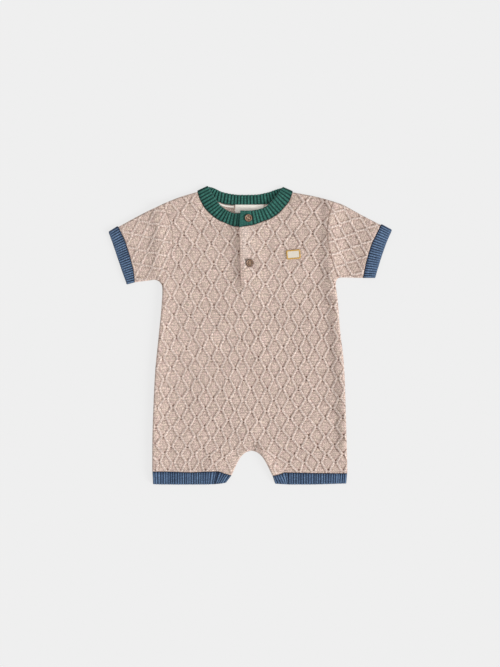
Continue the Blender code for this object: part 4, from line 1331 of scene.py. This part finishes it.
def make_sleeve(side):
    sides = [(curve(SLEEVE_TOP[side]), "fold"), (curve(CUFF_SEAM[side]), "seam"),
             (backwards(curve(UNDERARM[side])), "fold"), (backwards(curve(ARMHOLE[side])), "seam")]
    outline = Outline(turned(sides, side))
    lattice = Lattice(sleeve_place(SLEEVE_LATTICE[side]), **SLEEVE_SPAN, offset=SLEEVE_OFFSET,
                      depth=SLEEVE_MARKS)
    x, y = SLEEVE_LATTICE[side]["column"] / np.linalg.norm(SLEEVE_LATTICE[side]["column"])
    shell = Shell()
    add_tube(shell, outline, lattice, np.array([[x, y, 0.0], [-y, x, 0.0], [0.0, 0.0, 1.0]]))
    piece = shell.finish("sleeve_" + side + "_cloth", "taupe_knit")
    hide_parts("sleeve_" + side)
    width, length = outline.size
    2 * outline.area


def make_gusset():
    seam = {side: curve(GUSSET_SEAM[side]) for side in GUSSET_SEAM}
    notch = {side: curve(NOTCH[side]) for side in NOTCH}
    outline = Outline([
        (backwards(seam["right"]), "flush"), (leg_seam("right", False), "seam"),
        (notch["right"], "fold"), (backwards(notch["left"]), "fold"),
        (backwards(leg_seam("left", False)), "seam"), (seam["left"], "flush")])
    shell = Shell()
    add_tube(shell, outline, Ridges(GUSSET_RIDGES))
    piece = shell.finish("gusset", "taupe_knit")
    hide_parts("crotch_gusset")
    length = sum(run_of(path)[-1] for path in notch.values()) * MM
    2 * outline.area / length


# Ribbed bands -----------------------------------------------------------------------------------

SECTION = np.array([0.0, 0.04, 0.10, 0.3, 0.5, 0.7, 0.90, 0.96, 1.0])  # places across a band
END_ROUND = 0.9
RIB_STRAY = 0.05      # how much the width of a rib varies
LEG_STRAY = 0.10      # the same on a leg band
BAND_WAVE = 0.35      # how far a band waves up and down
STREAK = 2.2          # width of a row of plain stitches
FLAT_TONE = 0.5       # lightness of a band towards its free edge, where the painted light and shade of its ribs fade


def around(values):
    """Values across a band, once out on the outer side and back on the inner side."""
    return np.concatenate([values, values[-2:0:-1]])


class Ribs:
    """Ribs side by side over a run, a little uneven in width and height: the stations along the run,
    with the height, the light and the dark of each, and its place in rows of stitches. The light is
    painted highlight on a rib's top, and the dark is painted shade in its furrows."""

    def __init__(self, total, pitch, seed, stray, bare=0.0):
        chance = np.random.default_rng(seed)
        count = round(total / pitch)
        widths = 1.0 + stray * chance.normal(0.0, 1.0, count)
        furrows = total * np.concatenate([[0.0], np.cumsum(widths)]) / widths.sum()
        part = np.arange(RIB_STATIONS) / RIB_STATIONS
        spans = [mix(a, b, part) for a, b in zip(furrows, furrows[1:])]
        self.runs = np.concatenate(spans + [furrows[-1:]])
        rib = np.arange(len(self.runs)) / RIB_STATIONS
        side = np.abs(2.0 * (rib % 1.0) - 1.0)
        high = chance.uniform(0.75, 1.1, count + 1)[np.floor(rib).astype(int)]
        deep = chance.uniform(1.2 - 8.0 * stray, 1.2, count + 2)[np.round(rib).astype(int)]
        bright = chance.uniform(1.1 - 6.0 * stray, 1.2, count + 1)[np.floor(rib).astype(int)]
        plain = total - self.runs < bare
        streak = 0.5 + 0.5 * np.cos(math.tau * self.runs / STREAK)
        self.shape = np.where(plain, 0.75, np.sqrt(np.maximum(1.0 - 0.985 * side ** 2.2, 0.0)) * high)
        # Painted highlight on the middle of each rib and painted shade in its furrows; the plain end has
        # rows of lighter and darker stitches instead
        self.light = np.where(plain, 0.15 + 0.6 * streak, (1.0 - side) * bright)
        self.dark = np.where(plain, 0.25 * (1.0 - streak), smooth((side - 0.5) / 0.4) * deep)
        self.wale = rib * pitch


def rim_tone(light, dark, rims):
    """Painted light and painted shade across a band with those rims."""
    seam, free, kept = rims
    rim = np.clip(seam * bell(SECTION, 0.08) + free * bell(1.0 - SECTION, 0.05), 0.0, 1.0)
    ribbed = 1.0 - (1.0 - kept) * smooth((SECTION - 0.6) / 0.2)
    light, dark = mix(FLAT_TONE, light, ribbed), dark * ribbed
    return around(light * (1.0 - rim)), around(np.clip(dark + rim, 0.0, 1.0))


def band_section(seam, free, outer, inner, rib, turn, wale):
    """One section of a band, a closed ring of places from its seam to its free edge on the outer
    side and back on the inner side. outer and inner are heights at the seam and at the free
    edge, rib adds to either side, and turn bends the section about the fold's middle."""
    along = free - seam
    width = np.linalg.norm(along)
    along = along / width
    cap = bulge(np.minimum(SECTION, 1.0 - SECTION) * width, END_ROUND)
    high, low = mix(outer[0], outer[1], SECTION), mix(inner[0], inner[1], SECTION)
    middle = (high + low) / 2
    ends = smooth(np.minimum(SECTION / 0.1, (1.0 - SECTION) / 0.06))
    up = middle + (high + rib[0] * ends - middle) * cap
    down = middle + (low + rib[1] * ends - middle) * cap
    spots = around(SECTION)
    heights = np.concatenate([up, down[-2:0:-1]])
    swell = RIB_SWELL * (max(rib) - SWELL_FROM)
    reach = spots * width + swell * 4.0 * (spots - 0.5) * np.abs(spots - 0.5)
    out = np.array([-along[1], along[0]]) * (1.0 if along[0] > 0 else -1.0)
    lift = heights - MIDDLE
    flat = seam + along * reach[:, None] + out * (lift * math.sin(turn))[:, None]
    stitches = np.column_stack([np.full(len(spots), wale), spots * width, np.zeros(len(spots))])
    return as_places(flat, MIDDLE + lift * math.cos(turn)), stitches


def rib_sections(seams, frees, ribs, outer, inner, high, rims, wale=None):
    """A section of a band at each of its stations. high says how far the ribs stand up on the
    outer side and on the inner side."""
    wale = ribs.wale if wale is None else wale
    return [(band_section(seams[i], frees[i], outer[i], inner[i], np.array(high) * ribs.shape[i],
                          0.0, wale[i]),
             rim_tone(ribs.light[i], ribs.dark[i], rims)) for i in range(len(wale))]


def fold_over(seam, free, wale, sink, tone, steps, back=False):
    """A band turning over at a fold, from the upper layer to the lower or back."""
    sections = []
    for step in range(1, steps):
        turn = math.pi * (steps - step if back else step) / steps
        section = band_section(seam, free, (FRONT_TOP - sink,) * 2, (FRONT_BOTTOM,) * 2,
                               (sink * math.sin(turn), 0.0), turn, wale)
        sections.append((section, rim_tone(*tone)))
    return sections


def loft(shell, sections, closed):
    """Joins the sections of a band and, where it isn't closed, shuts its ends."""
    rings = []
    for (places, stitches), (light, dark) in sections:
        first = shell.add(places, light, dark, stitches)
        rings.append(np.arange(first, first + len(places)))
    pairs = list(zip(rings, rings[1:]))
    if closed:
        pairs.append((rings[-1], rings[0]))
    for ring, following in pairs:
        shell.strip(ring, following)
    if not closed:
        shell.faces += [rings[0].tolist(), rings[-1][::-1].tolist()]


# Where a leg band gets a line of painted shade, as if creased, beside the corner of the gusset
BAND_CREASE_SHADE = {"leg_band_right": -47.0, "leg_band_left": 53.6}


def make_band(node, side, seam, free, rims):
    """A ribbed tube, laid flat. seam and free are its two edges from the outer fold, with a point
    of one for each point of the other."""
    if side == "left":
        seam, free = backwards(seam), backwards(free)
    name = node + "_cloth"
    middle = run_of((seam + free) / 2)
    total = middle[-1]
    crease_shaded = node in BAND_CREASE_SHADE
    ribs = Ribs(total, size("rib_pitch"), len(name), LEG_STRAY if crease_shaded else RIB_STRAY)
    seams, frees = at_lengths(seam, middle, ribs.runs), at_lengths(free, middle, ribs.runs)
    wave = BAND_WAVE * ripple((seams + frees) / 2, 8.0, 41)
    # A line of painted shade across the leg band beside the gusset's corner
    if crease_shaded:
        crease_shade = 0.9 * bell((seams + frees)[:, 0] / 2 - BAND_CREASE_SHADE[node], 1.3)
        ribs.dark, ribs.light = np.maximum(ribs.dark, crease_shade), ribs.light * (1.0 - crease_shade)
    lifts = np.stack([drape(seams) + wave, drape(frees) + 0.5 * wave], axis=1)
    level = np.ones(lifts.shape)
    fold = (BAND_SINK, BAND_FOLD_TONE, BAND_STEPS)
    sections = rib_sections(seams, frees, ribs, FRONT_TOP - BAND_SINK + lifts, FRONT_BOTTOM + lifts,
                            (size("rib_height"), 0.0), rims)
    sections += fold_over(seams[-1], frees[-1], ribs.wale[-1], *fold)
    sections += rib_sections(seams, frees, ribs, UNDER_RIB * level, WALL * level,
                             (-UNDER_RIB, 0.0), rims, 2 * ribs.wale[-1] - ribs.wale)[::-1]
    sections += fold_over(seams[0], frees[0], 0.0, *fold, back=True)
    shell = Shell()
    loft(shell, sections, closed=True)
    piece = shell.finish(name, "blue_rib")
    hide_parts(node)


def at_lengths(path, along, runs):
    """Places on a path at the given runs of another path that goes along with it."""
    return np.stack([np.interp(runs, along, path[:, i]) for i in (0, 1)], axis=1)


def make_cuff(side):
    parts = np.linspace(0.0, 1.0, 400)
    seam, free = (at_runs(path, parts * run_of(path)[-1])
                  for path in (curve(CUFF_SEAM[side], 0.5), curve(CUFF_EDGE[side], 0.5)))
    make_band("cuff_" + side, side, seam, free, CUFF_RIMS)


def make_leg_band(side):
    both = rounded(np.hstack([LEG_SEAM[side], LEG_HEM[side]]), 3.0)
    make_band("leg_band_" + side, side, both[:, :2], both[:, 2:], LEG_RIMS)


def neck_stretch(seam, free, seed, bare=0.0):
    """Seam and free places of the neckband, and its ribs, at every station between two paths."""
    seam, free = spline(seam), spline(free)
    along = run_of((seam + free) / 2)
    ribs = Ribs(along[-1], size("neck_rib_pitch"), seed, RIB_STRAY, bare)
    return at_lengths(seam, along, ribs.runs), at_lengths(free, along, ribs.runs), ribs


def neck_front(side, bare):
    seams, frees, ribs = neck_stretch(NECK_FRONT[side], BAND_FRONT[side], 5, bare)
    raised = drape(seams) + BAND_WAVE * ripple(seams, 8.0, 42)
    raised += rise(seams + ([1.0, 0.0] if side == "left" else [-1.0, 0.0]))
    to_end = ribs.runs[-1] - ribs.runs
    if side == "left":
        seams = seams - np.outer(FLAP_CORNER * bell(to_end, CORNER_RUN), [0.0, 1.0])
    else:
        # Painted shadow of the flap on the end of the band that goes under it
        shade = bell(to_end, LAP_SHADE_WIDE)
        ribs.dark, ribs.light = np.maximum(ribs.dark, shade), ribs.light * (1.0 - shade)
    lift = BAND_LIFT * smooth(ribs.runs / BAND_LIFT_RUN)
    low = FRONT_BOTTOM + np.column_stack([raised, raised + lift])
    return rib_sections(seams, frees, ribs, low + WALL - NECK_SINK, low,
                        (size("neck_rib_height"), 0.0), NECK_RIMS)


def neck_fold(side):
    seam, free = np.array(NECK_FRONT[side][0]), np.array(BAND_FRONT[side][0])
    return fold_over(seam, free, 0.0, NECK_FOLD_SINK, NECK_FOLD_TONE, NECK_STEPS, side == "left")


def make_neckband():
    right, left = neck_front("right", 0.0), neck_front("left", BAND_BARE)
    low = np.array([FRONT_BOTTOM, FRONT_BOTTOM + BAND_LIFT])
    hidden = band_section(*map(np.array, BAND_UNDERLAP), low + WALL - BAND_SINK, low, (0.0, 0.0),
                          0.0, 0.0)
    seams, frees, ribs = neck_stretch(NECK_BACK, BAND_BACK, 6)
    level = np.ones((len(ribs.runs), 2))
    back = rib_sections(seams, frees, ribs, BACK_UNDER_RIB * level, (WALL - BACK_SINK) * level,
                        (-BACK_UNDER_RIB, BACK_RIB), BACK_RIMS)
    sections = [(hidden, rim_tone(*HIDDEN_TONE)), *right[::-1], *neck_fold("right"), *back,
                *neck_fold("left"), *left]
    shell = Shell()
    loft(shell, sections, closed=False)
    piece = shell.finish("neckband_cloth", "green_rib")
    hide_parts("neckband")
    paths = ((NECK_FRONT["right"], BAND_FRONT["right"]), (NECK_BACK, BAND_BACK),
             (NECK_FRONT["left"], BAND_FRONT["left"]))
    length = sum(run_of((spline(a) + spline(b)) / 2)[-1] for a, b in paths) + NECK_LAP


# Trim -------------------------------------------------------------------------------------------

def add_rod(shell, places, ways, wide, high, sides, floor=None):
    """A rod through places with an oval section, wide to either side along its way and high up
    and down. Where floor is given, the heights are above it."""
    angles = np.linspace(0.0, math.tau, sides + 1)[:-1]
    rings = []
    for place, way in zip(places, ways):
        ring = place[:2] + (np.cos(angles) * wide)[:, None] * way
        height = place[2] + np.sin(angles) * high + (0.0 if floor is None else floor(ring))
        first = shell.add(as_places(ring, height))
        rings.append(np.arange(first, first + sides))
    for ring, following in zip(rings, rings[1:]):
        shell.strip(ring, following)
    shell.faces += [rings[0][::-1].tolist(), rings[-1].tolist()]


def make_tape(name, path):
    """A rolled edge of tape along the back of the neck."""
    path = curve(path, 1.0)
    shell = Shell()
    places = as_places(path, np.full(len(path), WALL + GAP + TRIM / 2))
    add_rod(shell, places, normals_of(path), TAPE_WIDTH / 2, TRIM / 2, 12)
    piece = shell.finish(name + "_cloth", "cream_tape")
    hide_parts(name)
    return piece


def turned_by(degrees):
    """Turns rows of places by an angle."""
    angle = math.radians(degrees)
    return np.array([[math.cos(angle), math.sin(angle)], [-math.sin(angle), math.cos(angle)]])


def plate(spot, turn, bottom, step):
    """A small woven piece with softened edges, lying flat."""
    shell = Shell()
    wide, high = spot["size"]
    columns, rows = max(6, round(wide / step)), max(4, round(high / step))
    u, v = np.meshgrid(np.linspace(-0.5, 0.5, columns + 1), np.linspace(-0.5, 0.5, rows + 1))
    flat = np.stack([u.ravel() * wide, v.ravel() * high], axis=1)
    away = np.minimum(wide / 2 - np.abs(flat[:, 0]), high / 2 - np.abs(flat[:, 1]))
    placed = flat @ turned_by(turn) + np.array(spot["middle"])
    top = bottom(placed) + TRIM * (0.45 + 0.55 * bulge(away, 0.6))
    stitched = np.column_stack([flat, np.zeros(len(flat))])
    first = shell.add(as_places(placed, top), stitches=stitched)
    second = shell.add(as_places(placed, bottom(placed)), stitches=stitched)
    index = np.arange(len(flat)).reshape(rows + 1, columns + 1)
    quads = np.stack([index[:-1, :-1], index[:-1, 1:], index[1:, 1:], index[1:, :-1]], axis=-1)
    quads = quads.reshape(-1, 4)
    shell.faces += (quads + first).tolist() + (quads[:, ::-1] + second).tolist()
    rim = np.concatenate([index[0, :-1], index[:-1, -1], index[-1, :0:-1], index[:0:-1, 0]])
    shell.strip(rim + second, rim + first)
    return shell


def make_label():
    shell = plate(LABEL, 0.0, lambda p: np.full(len(p), WALL + GAP), 0.8)
    piece = shell.finish("label_cloth", "cream_tape", "cream_label")
    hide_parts("neck_label")


def patch_floor(points):
    """The patch lies on the flattened cells of the front."""
    return FRONT_TOP + GAP + drape(points) + PUFF


def make_patch():
    shell = plate(PATCH, PATCH["turn"], patch_floor, PATCH_STEP)
    piece = shell.finish("patch_cloth", "patch_weave")
    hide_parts("chest_patch")
    satin_border()


def satin_border():
    """Close satin stitches over the patch's edge, each a small rounded bar."""
    x, y = np.array(PATCH["size"]) / 2 - SATIN_WIDTH / 2 + 0.35
    corners = np.array([(-x, -y), (x, -y), (x, y), (-x, y), (-x, -y)])
    path = even(corners, SATIN_STITCH)
    spin = turned_by(PATCH["turn"])
    rise_up = TRIM * 0.75 + np.array(SATIN_RISE)
    shell = Shell()
    chance = np.random.default_rng(11)
    for at, following in zip(path, path[1:]):
        run = (following - at) / np.linalg.norm(following - at)
        across = np.array([-run[1], run[0]])
        length = SATIN_WIDTH / 2 * chance.uniform(0.92, 1.06)
        spots = at + np.linspace(length, -length, len(rise_up))[:, None] * across
        places = as_places(spots @ spin + np.array(PATCH["middle"]), rise_up)
        ways = [run @ spin] * len(places)
        add_rod(shell, places, ways, SATIN_STITCH * 0.55, 0.25, 6, patch_floor)
    return shell.finish("patch_border", "mustard_thread", slot="patch_weave")


def button_profile():
    """Half section of a dished button with a rounded rim, from the middle of the top down."""
    r, t = BUTTON_RADIUS, BUTTON_THICK
    coarse = [(0.0, 0.60 * t), (0.35 * r, 0.60 * t), (0.55 * r, 0.66 * t), (0.68 * r, 0.90 * t),
              (0.80 * r, t), (0.92 * r, 0.90 * t), (r, 0.55 * t), (0.95 * r, 0.18 * t),
              (0.75 * r, 0.0)]
    return even(spline(coarse, 8), 0.25)


def hole_places(name):
    """The four holes of a button, from its middle."""
    angles = [math.radians(BUTTON_TURN[name] + 45.0 + 90.0 * quarter) for quarter in range(4)]
    return [HOLE_OFFSET * np.array([math.cos(angle), math.sin(angle)]) for angle in angles]


def make_button(name, bottom):
    middle = np.array(BUTTONS[name])
    base = bottom + float(drape(middle[None])[0])
    profile = button_profile()
    mesh = bmesh.new()
    places = [mesh.verts.new((max(x, 0.0), 0.0, z)) for x, z in profile]
    places.append(mesh.verts.new((0.0, 0.0, 0.0)))
    edges = [mesh.edges.new(pair) for pair in zip(places, places[1:])]
    bmesh.ops.spin(mesh, geom=places + edges, cent=(0, 0, 0), axis=(0, 0, 1), angle=math.tau,
                   steps=64, use_merge=True)
    bmesh.ops.remove_doubles(mesh, verts=mesh.verts, dist=0.001)
    bmesh.ops.recalc_face_normals(mesh, faces=mesh.faces)
    disc = mesh_object("disc", mesh)
    cutters = bmesh.new()
    for x, y in hole_places(name):
        made = bmesh.ops.create_cone(cutters, cap_ends=True, segments=20, radius1=HOLE_RADIUS,
                                     radius2=HOLE_RADIUS, depth=3 * BUTTON_THICK)["verts"]
        bmesh.ops.translate(cutters, verts=made, vec=(x, y, 0.0))
    cutter = mesh_object("cutter", cutters)
    cut = disc.modifiers.new("holes", "BOOLEAN")
    cut.operation = "DIFFERENCE"
    cut.solver = "EXACT"
    cut.object = cutter
    bpy.context.view_layer.update()
    graph = bpy.context.evaluated_depsgraph_get()
    result = bpy.data.meshes.new_from_object(disc.evaluated_get(graph))
    for scratch in (disc, cutter):
        bpy.data.objects.remove(scratch, do_unlink=True)
    points = np.array([v.co[:] for v in result.vertices])
    radius = np.linalg.norm(points[:, :2], axis=1)
    # Painted shade: the rim and the well of the button are darkened towards the horn's shadow colour
    rim = smooth((radius / BUTTON_RADIUS - 0.80) / 0.12)
    well = bell(radius / BUTTON_RADIUS - 0.58, 0.08) * 0.8
    result.attributes.new("hollow", "FLOAT", "POINT").data.foreach_set(
        "value", np.maximum(rim, well).astype(np.float32))
    points = (points + [*middle, base]) * MM
    result.vertices.foreach_set("co", points.astype(np.float32).ravel())
    result.shade_smooth()
    result.set_sharp_from_angle(angle=math.radians(40))
    piece = add_piece(name + "_horn", result, "horn_button")
    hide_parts(name)
    add_thread(name, middle, base)


def mesh_object(name, mesh):
    data = bpy.data.meshes.new(name)
    mesh.to_mesh(data)
    mesh.free()
    return add_object(name, data)


def add_thread(name, middle, base):
    """Two bars of thread across the well of a button, from hole to hole."""
    shell = Shell()
    parts = np.linspace(0.0, 1.0, 9)[:, None]
    high = base + 0.60 * BUTTON_THICK + 0.25 - 1.6 * (2 * parts[:, 0] - 1) ** 4
    holes = hole_places(name)
    for start, end in (holes[:2], holes[2:]):
        run = (end - start) / np.linalg.norm(end - start)
        across = np.array([-run[1], run[0]])
        places = as_places(middle + mix(start, end, parts), high)
        add_rod(shell, places, [across] * len(places), 0.45, 0.3, 8)
    shell.finish(name + "_thread", "sewing_thread", slot="horn_button")


# Stage ------------------------------------------------------------------------------------------

def make_stage(settings):
    mesh = bmesh.new()
    bmesh.ops.create_grid(mesh, x_segments=1, y_segments=1, size=4.0)
    floor = mesh_object("floor", mesh)
    floor.location.z = -FLOOR_DROP * MM
    floor.data.materials.append(material("floor"))
    camera = add_object("camera", bpy.data.cameras.new("camera"))
    camera.location = (VIEW_MIDDLE[0] * MM, VIEW_MIDDLE[1] * MM, CAMERA_HEIGHT * MM)
    camera.data.sensor_fit = "HORIZONTAL"
    camera.data.sensor_width = SENSOR
    camera.data.lens = SENSOR * CAMERA_HEIGHT / VIEW_WIDTH
    camera.data.clip_end = 50.0
    bpy.context.scene.camera = camera
    light = bpy.data.lights.new("key", "SUN")
    light.angle = settings.key_softness
    light.energy = settings.key_power
    key = add_object("key", light)
    flat = math.cos(settings.key_height)
    key.location = (flat * math.cos(settings.key_azimuth), flat * math.sin(settings.key_azimuth),
                    math.sin(settings.key_height))
    key.rotation_euler = (-key.location).to_track_quat("-Z", "Y").to_euler()
    world = bpy.data.worlds.new("soft studio")
    world.use_nodes = True
    background = world.node_tree.nodes["Background"]
    background.inputs["Color"].default_value = (1.0, 1.0, 1.0, 1.0)
    background.inputs["Strength"].default_value = settings.ambient
    bpy.context.scene.world = world
    bpy.context.scene.view_settings.view_transform = "Standard"


# Add-on -----------------------------------------------------------------------------------------

class RomperStage(bpy.types.PropertyGroup):
    """Light on the stage."""
    key_power: FloatProperty(name="Key light", description="Strength of the key light",
                             default=2.62, min=0.0)
    key_azimuth: FloatProperty(name="Key azimuth", default=math.radians(-28.0), subtype="ANGLE",
                               description="Where the key light stands, turned from +X")
    key_height: FloatProperty(name="Key height", default=math.radians(24.0), subtype="ANGLE",
                              description="How high the key light stands")
    key_softness: FloatProperty(name="Key softness", default=math.radians(24.0), subtype="ANGLE",
                                description="How wide the key light looks from the garment")
    ambient: FloatProperty(name="Ambient", description="Strength of the light from all round",
                           default=0.66, min=0.0)


class ROMPER_OT_body(bpy.types.Operator):
    """Makes the front, the back with its tapes, and the placket's underlap"""
    bl_idname = "romper.body"
    bl_label = "Body"

    def execute(self, context):
        make_front()
        make_back()
        make_underlap()
        return {"FINISHED"}


class ROMPER_OT_gusset(bpy.types.Operator):
    """Makes the inset between the legs"""
    bl_idname = "romper.gusset"
    bl_label = "Gusset"

    def execute(self, context):
        make_gusset()
        return {"FINISHED"}


class ROMPER_OT_sleeves(bpy.types.Operator):
    """Makes both sleeves"""
    bl_idname = "romper.sleeves"
    bl_label = "Sleeves"

    def execute(self, context):
        for side in ("right", "left"):
            make_sleeve(side)
        return {"FINISHED"}


class ROMPER_OT_bands(bpy.types.Operator):
    """Makes the cuffs and the leg bands"""
    bl_idname = "romper.bands"
    bl_label = "Cuffs and leg bands"

    def execute(self, context):
        for side in ("right", "left"):
            make_cuff(side)
            make_leg_band(side)
        return {"FINISHED"}


class ROMPER_OT_neckband(bpy.types.Operator):
    """Makes the neckband"""
    bl_idname = "romper.neckband"
    bl_label = "Neckband"

    def execute(self, context):
        make_neckband()
        return {"FINISHED"}


class ROMPER_OT_trim(bpy.types.Operator):
    """Makes the label and the patch"""
    bl_idname = "romper.trim"
    bl_label = "Label and patch"

    def execute(self, context):
        make_label()
        make_patch()
        return {"FINISHED"}


class ROMPER_OT_buttons(bpy.types.Operator):
    """Makes both buttons and the thread that holds them"""
    bl_idname = "romper.buttons"
    bl_label = "Buttons"

    def execute(self, context):
        flap = FRONT_TOP + FLAP_RISE + GAP
        make_button("button_lower", flap + BUTTON_CLEAR)
        make_button("button_top", flap + BAND_LIFT * BUTTON_ON_BAND + BUTTON_CLEAR)
        return {"FINISHED"}


class ROMPER_OT_stage(bpy.types.Operator):
    """Makes the floor, the light and the camera"""
    bl_idname = "romper.stage"
    bl_label = "Stage"

    def execute(self, context):
        make_stage(context.scene.romper_stage)
        return {"FINISHED"}


OPERATORS = (ROMPER_OT_body, ROMPER_OT_gusset, ROMPER_OT_sleeves, ROMPER_OT_bands,
             ROMPER_OT_neckband, ROMPER_OT_trim, ROMPER_OT_buttons, ROMPER_OT_stage)


class ROMPER_PT_panel(bpy.types.Panel):
    """Lists the steps in the sidebar"""
    bl_label = "Romper"
    bl_space_type = "VIEW_3D"
    bl_region_type = "UI"
    bl_category = "Romper"

    def draw(self, context):
        for operator in OPERATORS:
            self.layout.operator(operator.bl_idname)
        for settings in SETTINGS:
            for key in SETTINGS[settings].__annotations__:
                self.layout.prop(getattr(context.scene, settings), key)


SETTINGS = {"romper_sizes": RomperSizes, "romper_colours": RomperColours, "romper_stage": RomperStage}
CLASSES = (*SETTINGS.values(), *OPERATORS, ROMPER_PT_panel)


def register():
    for cls in CLASSES:
        bpy.utils.register_class(cls)
    for settings, cls in SETTINGS.items():
        setattr(bpy.types.Scene, settings, PointerProperty(type=cls))


def unregister():
    for settings in SETTINGS:
        delattr(bpy.types.Scene, settings)
    for cls in reversed(CLASSES):
        bpy.utils.unregister_class(cls)


def main():
    register()
    for name in ("body", "gusset", "sleeves", "bands", "neckband", "trim", "buttons", "stage"):
        getattr(bpy.ops.romper, name)()


if __name__ == "__main__":
    main()
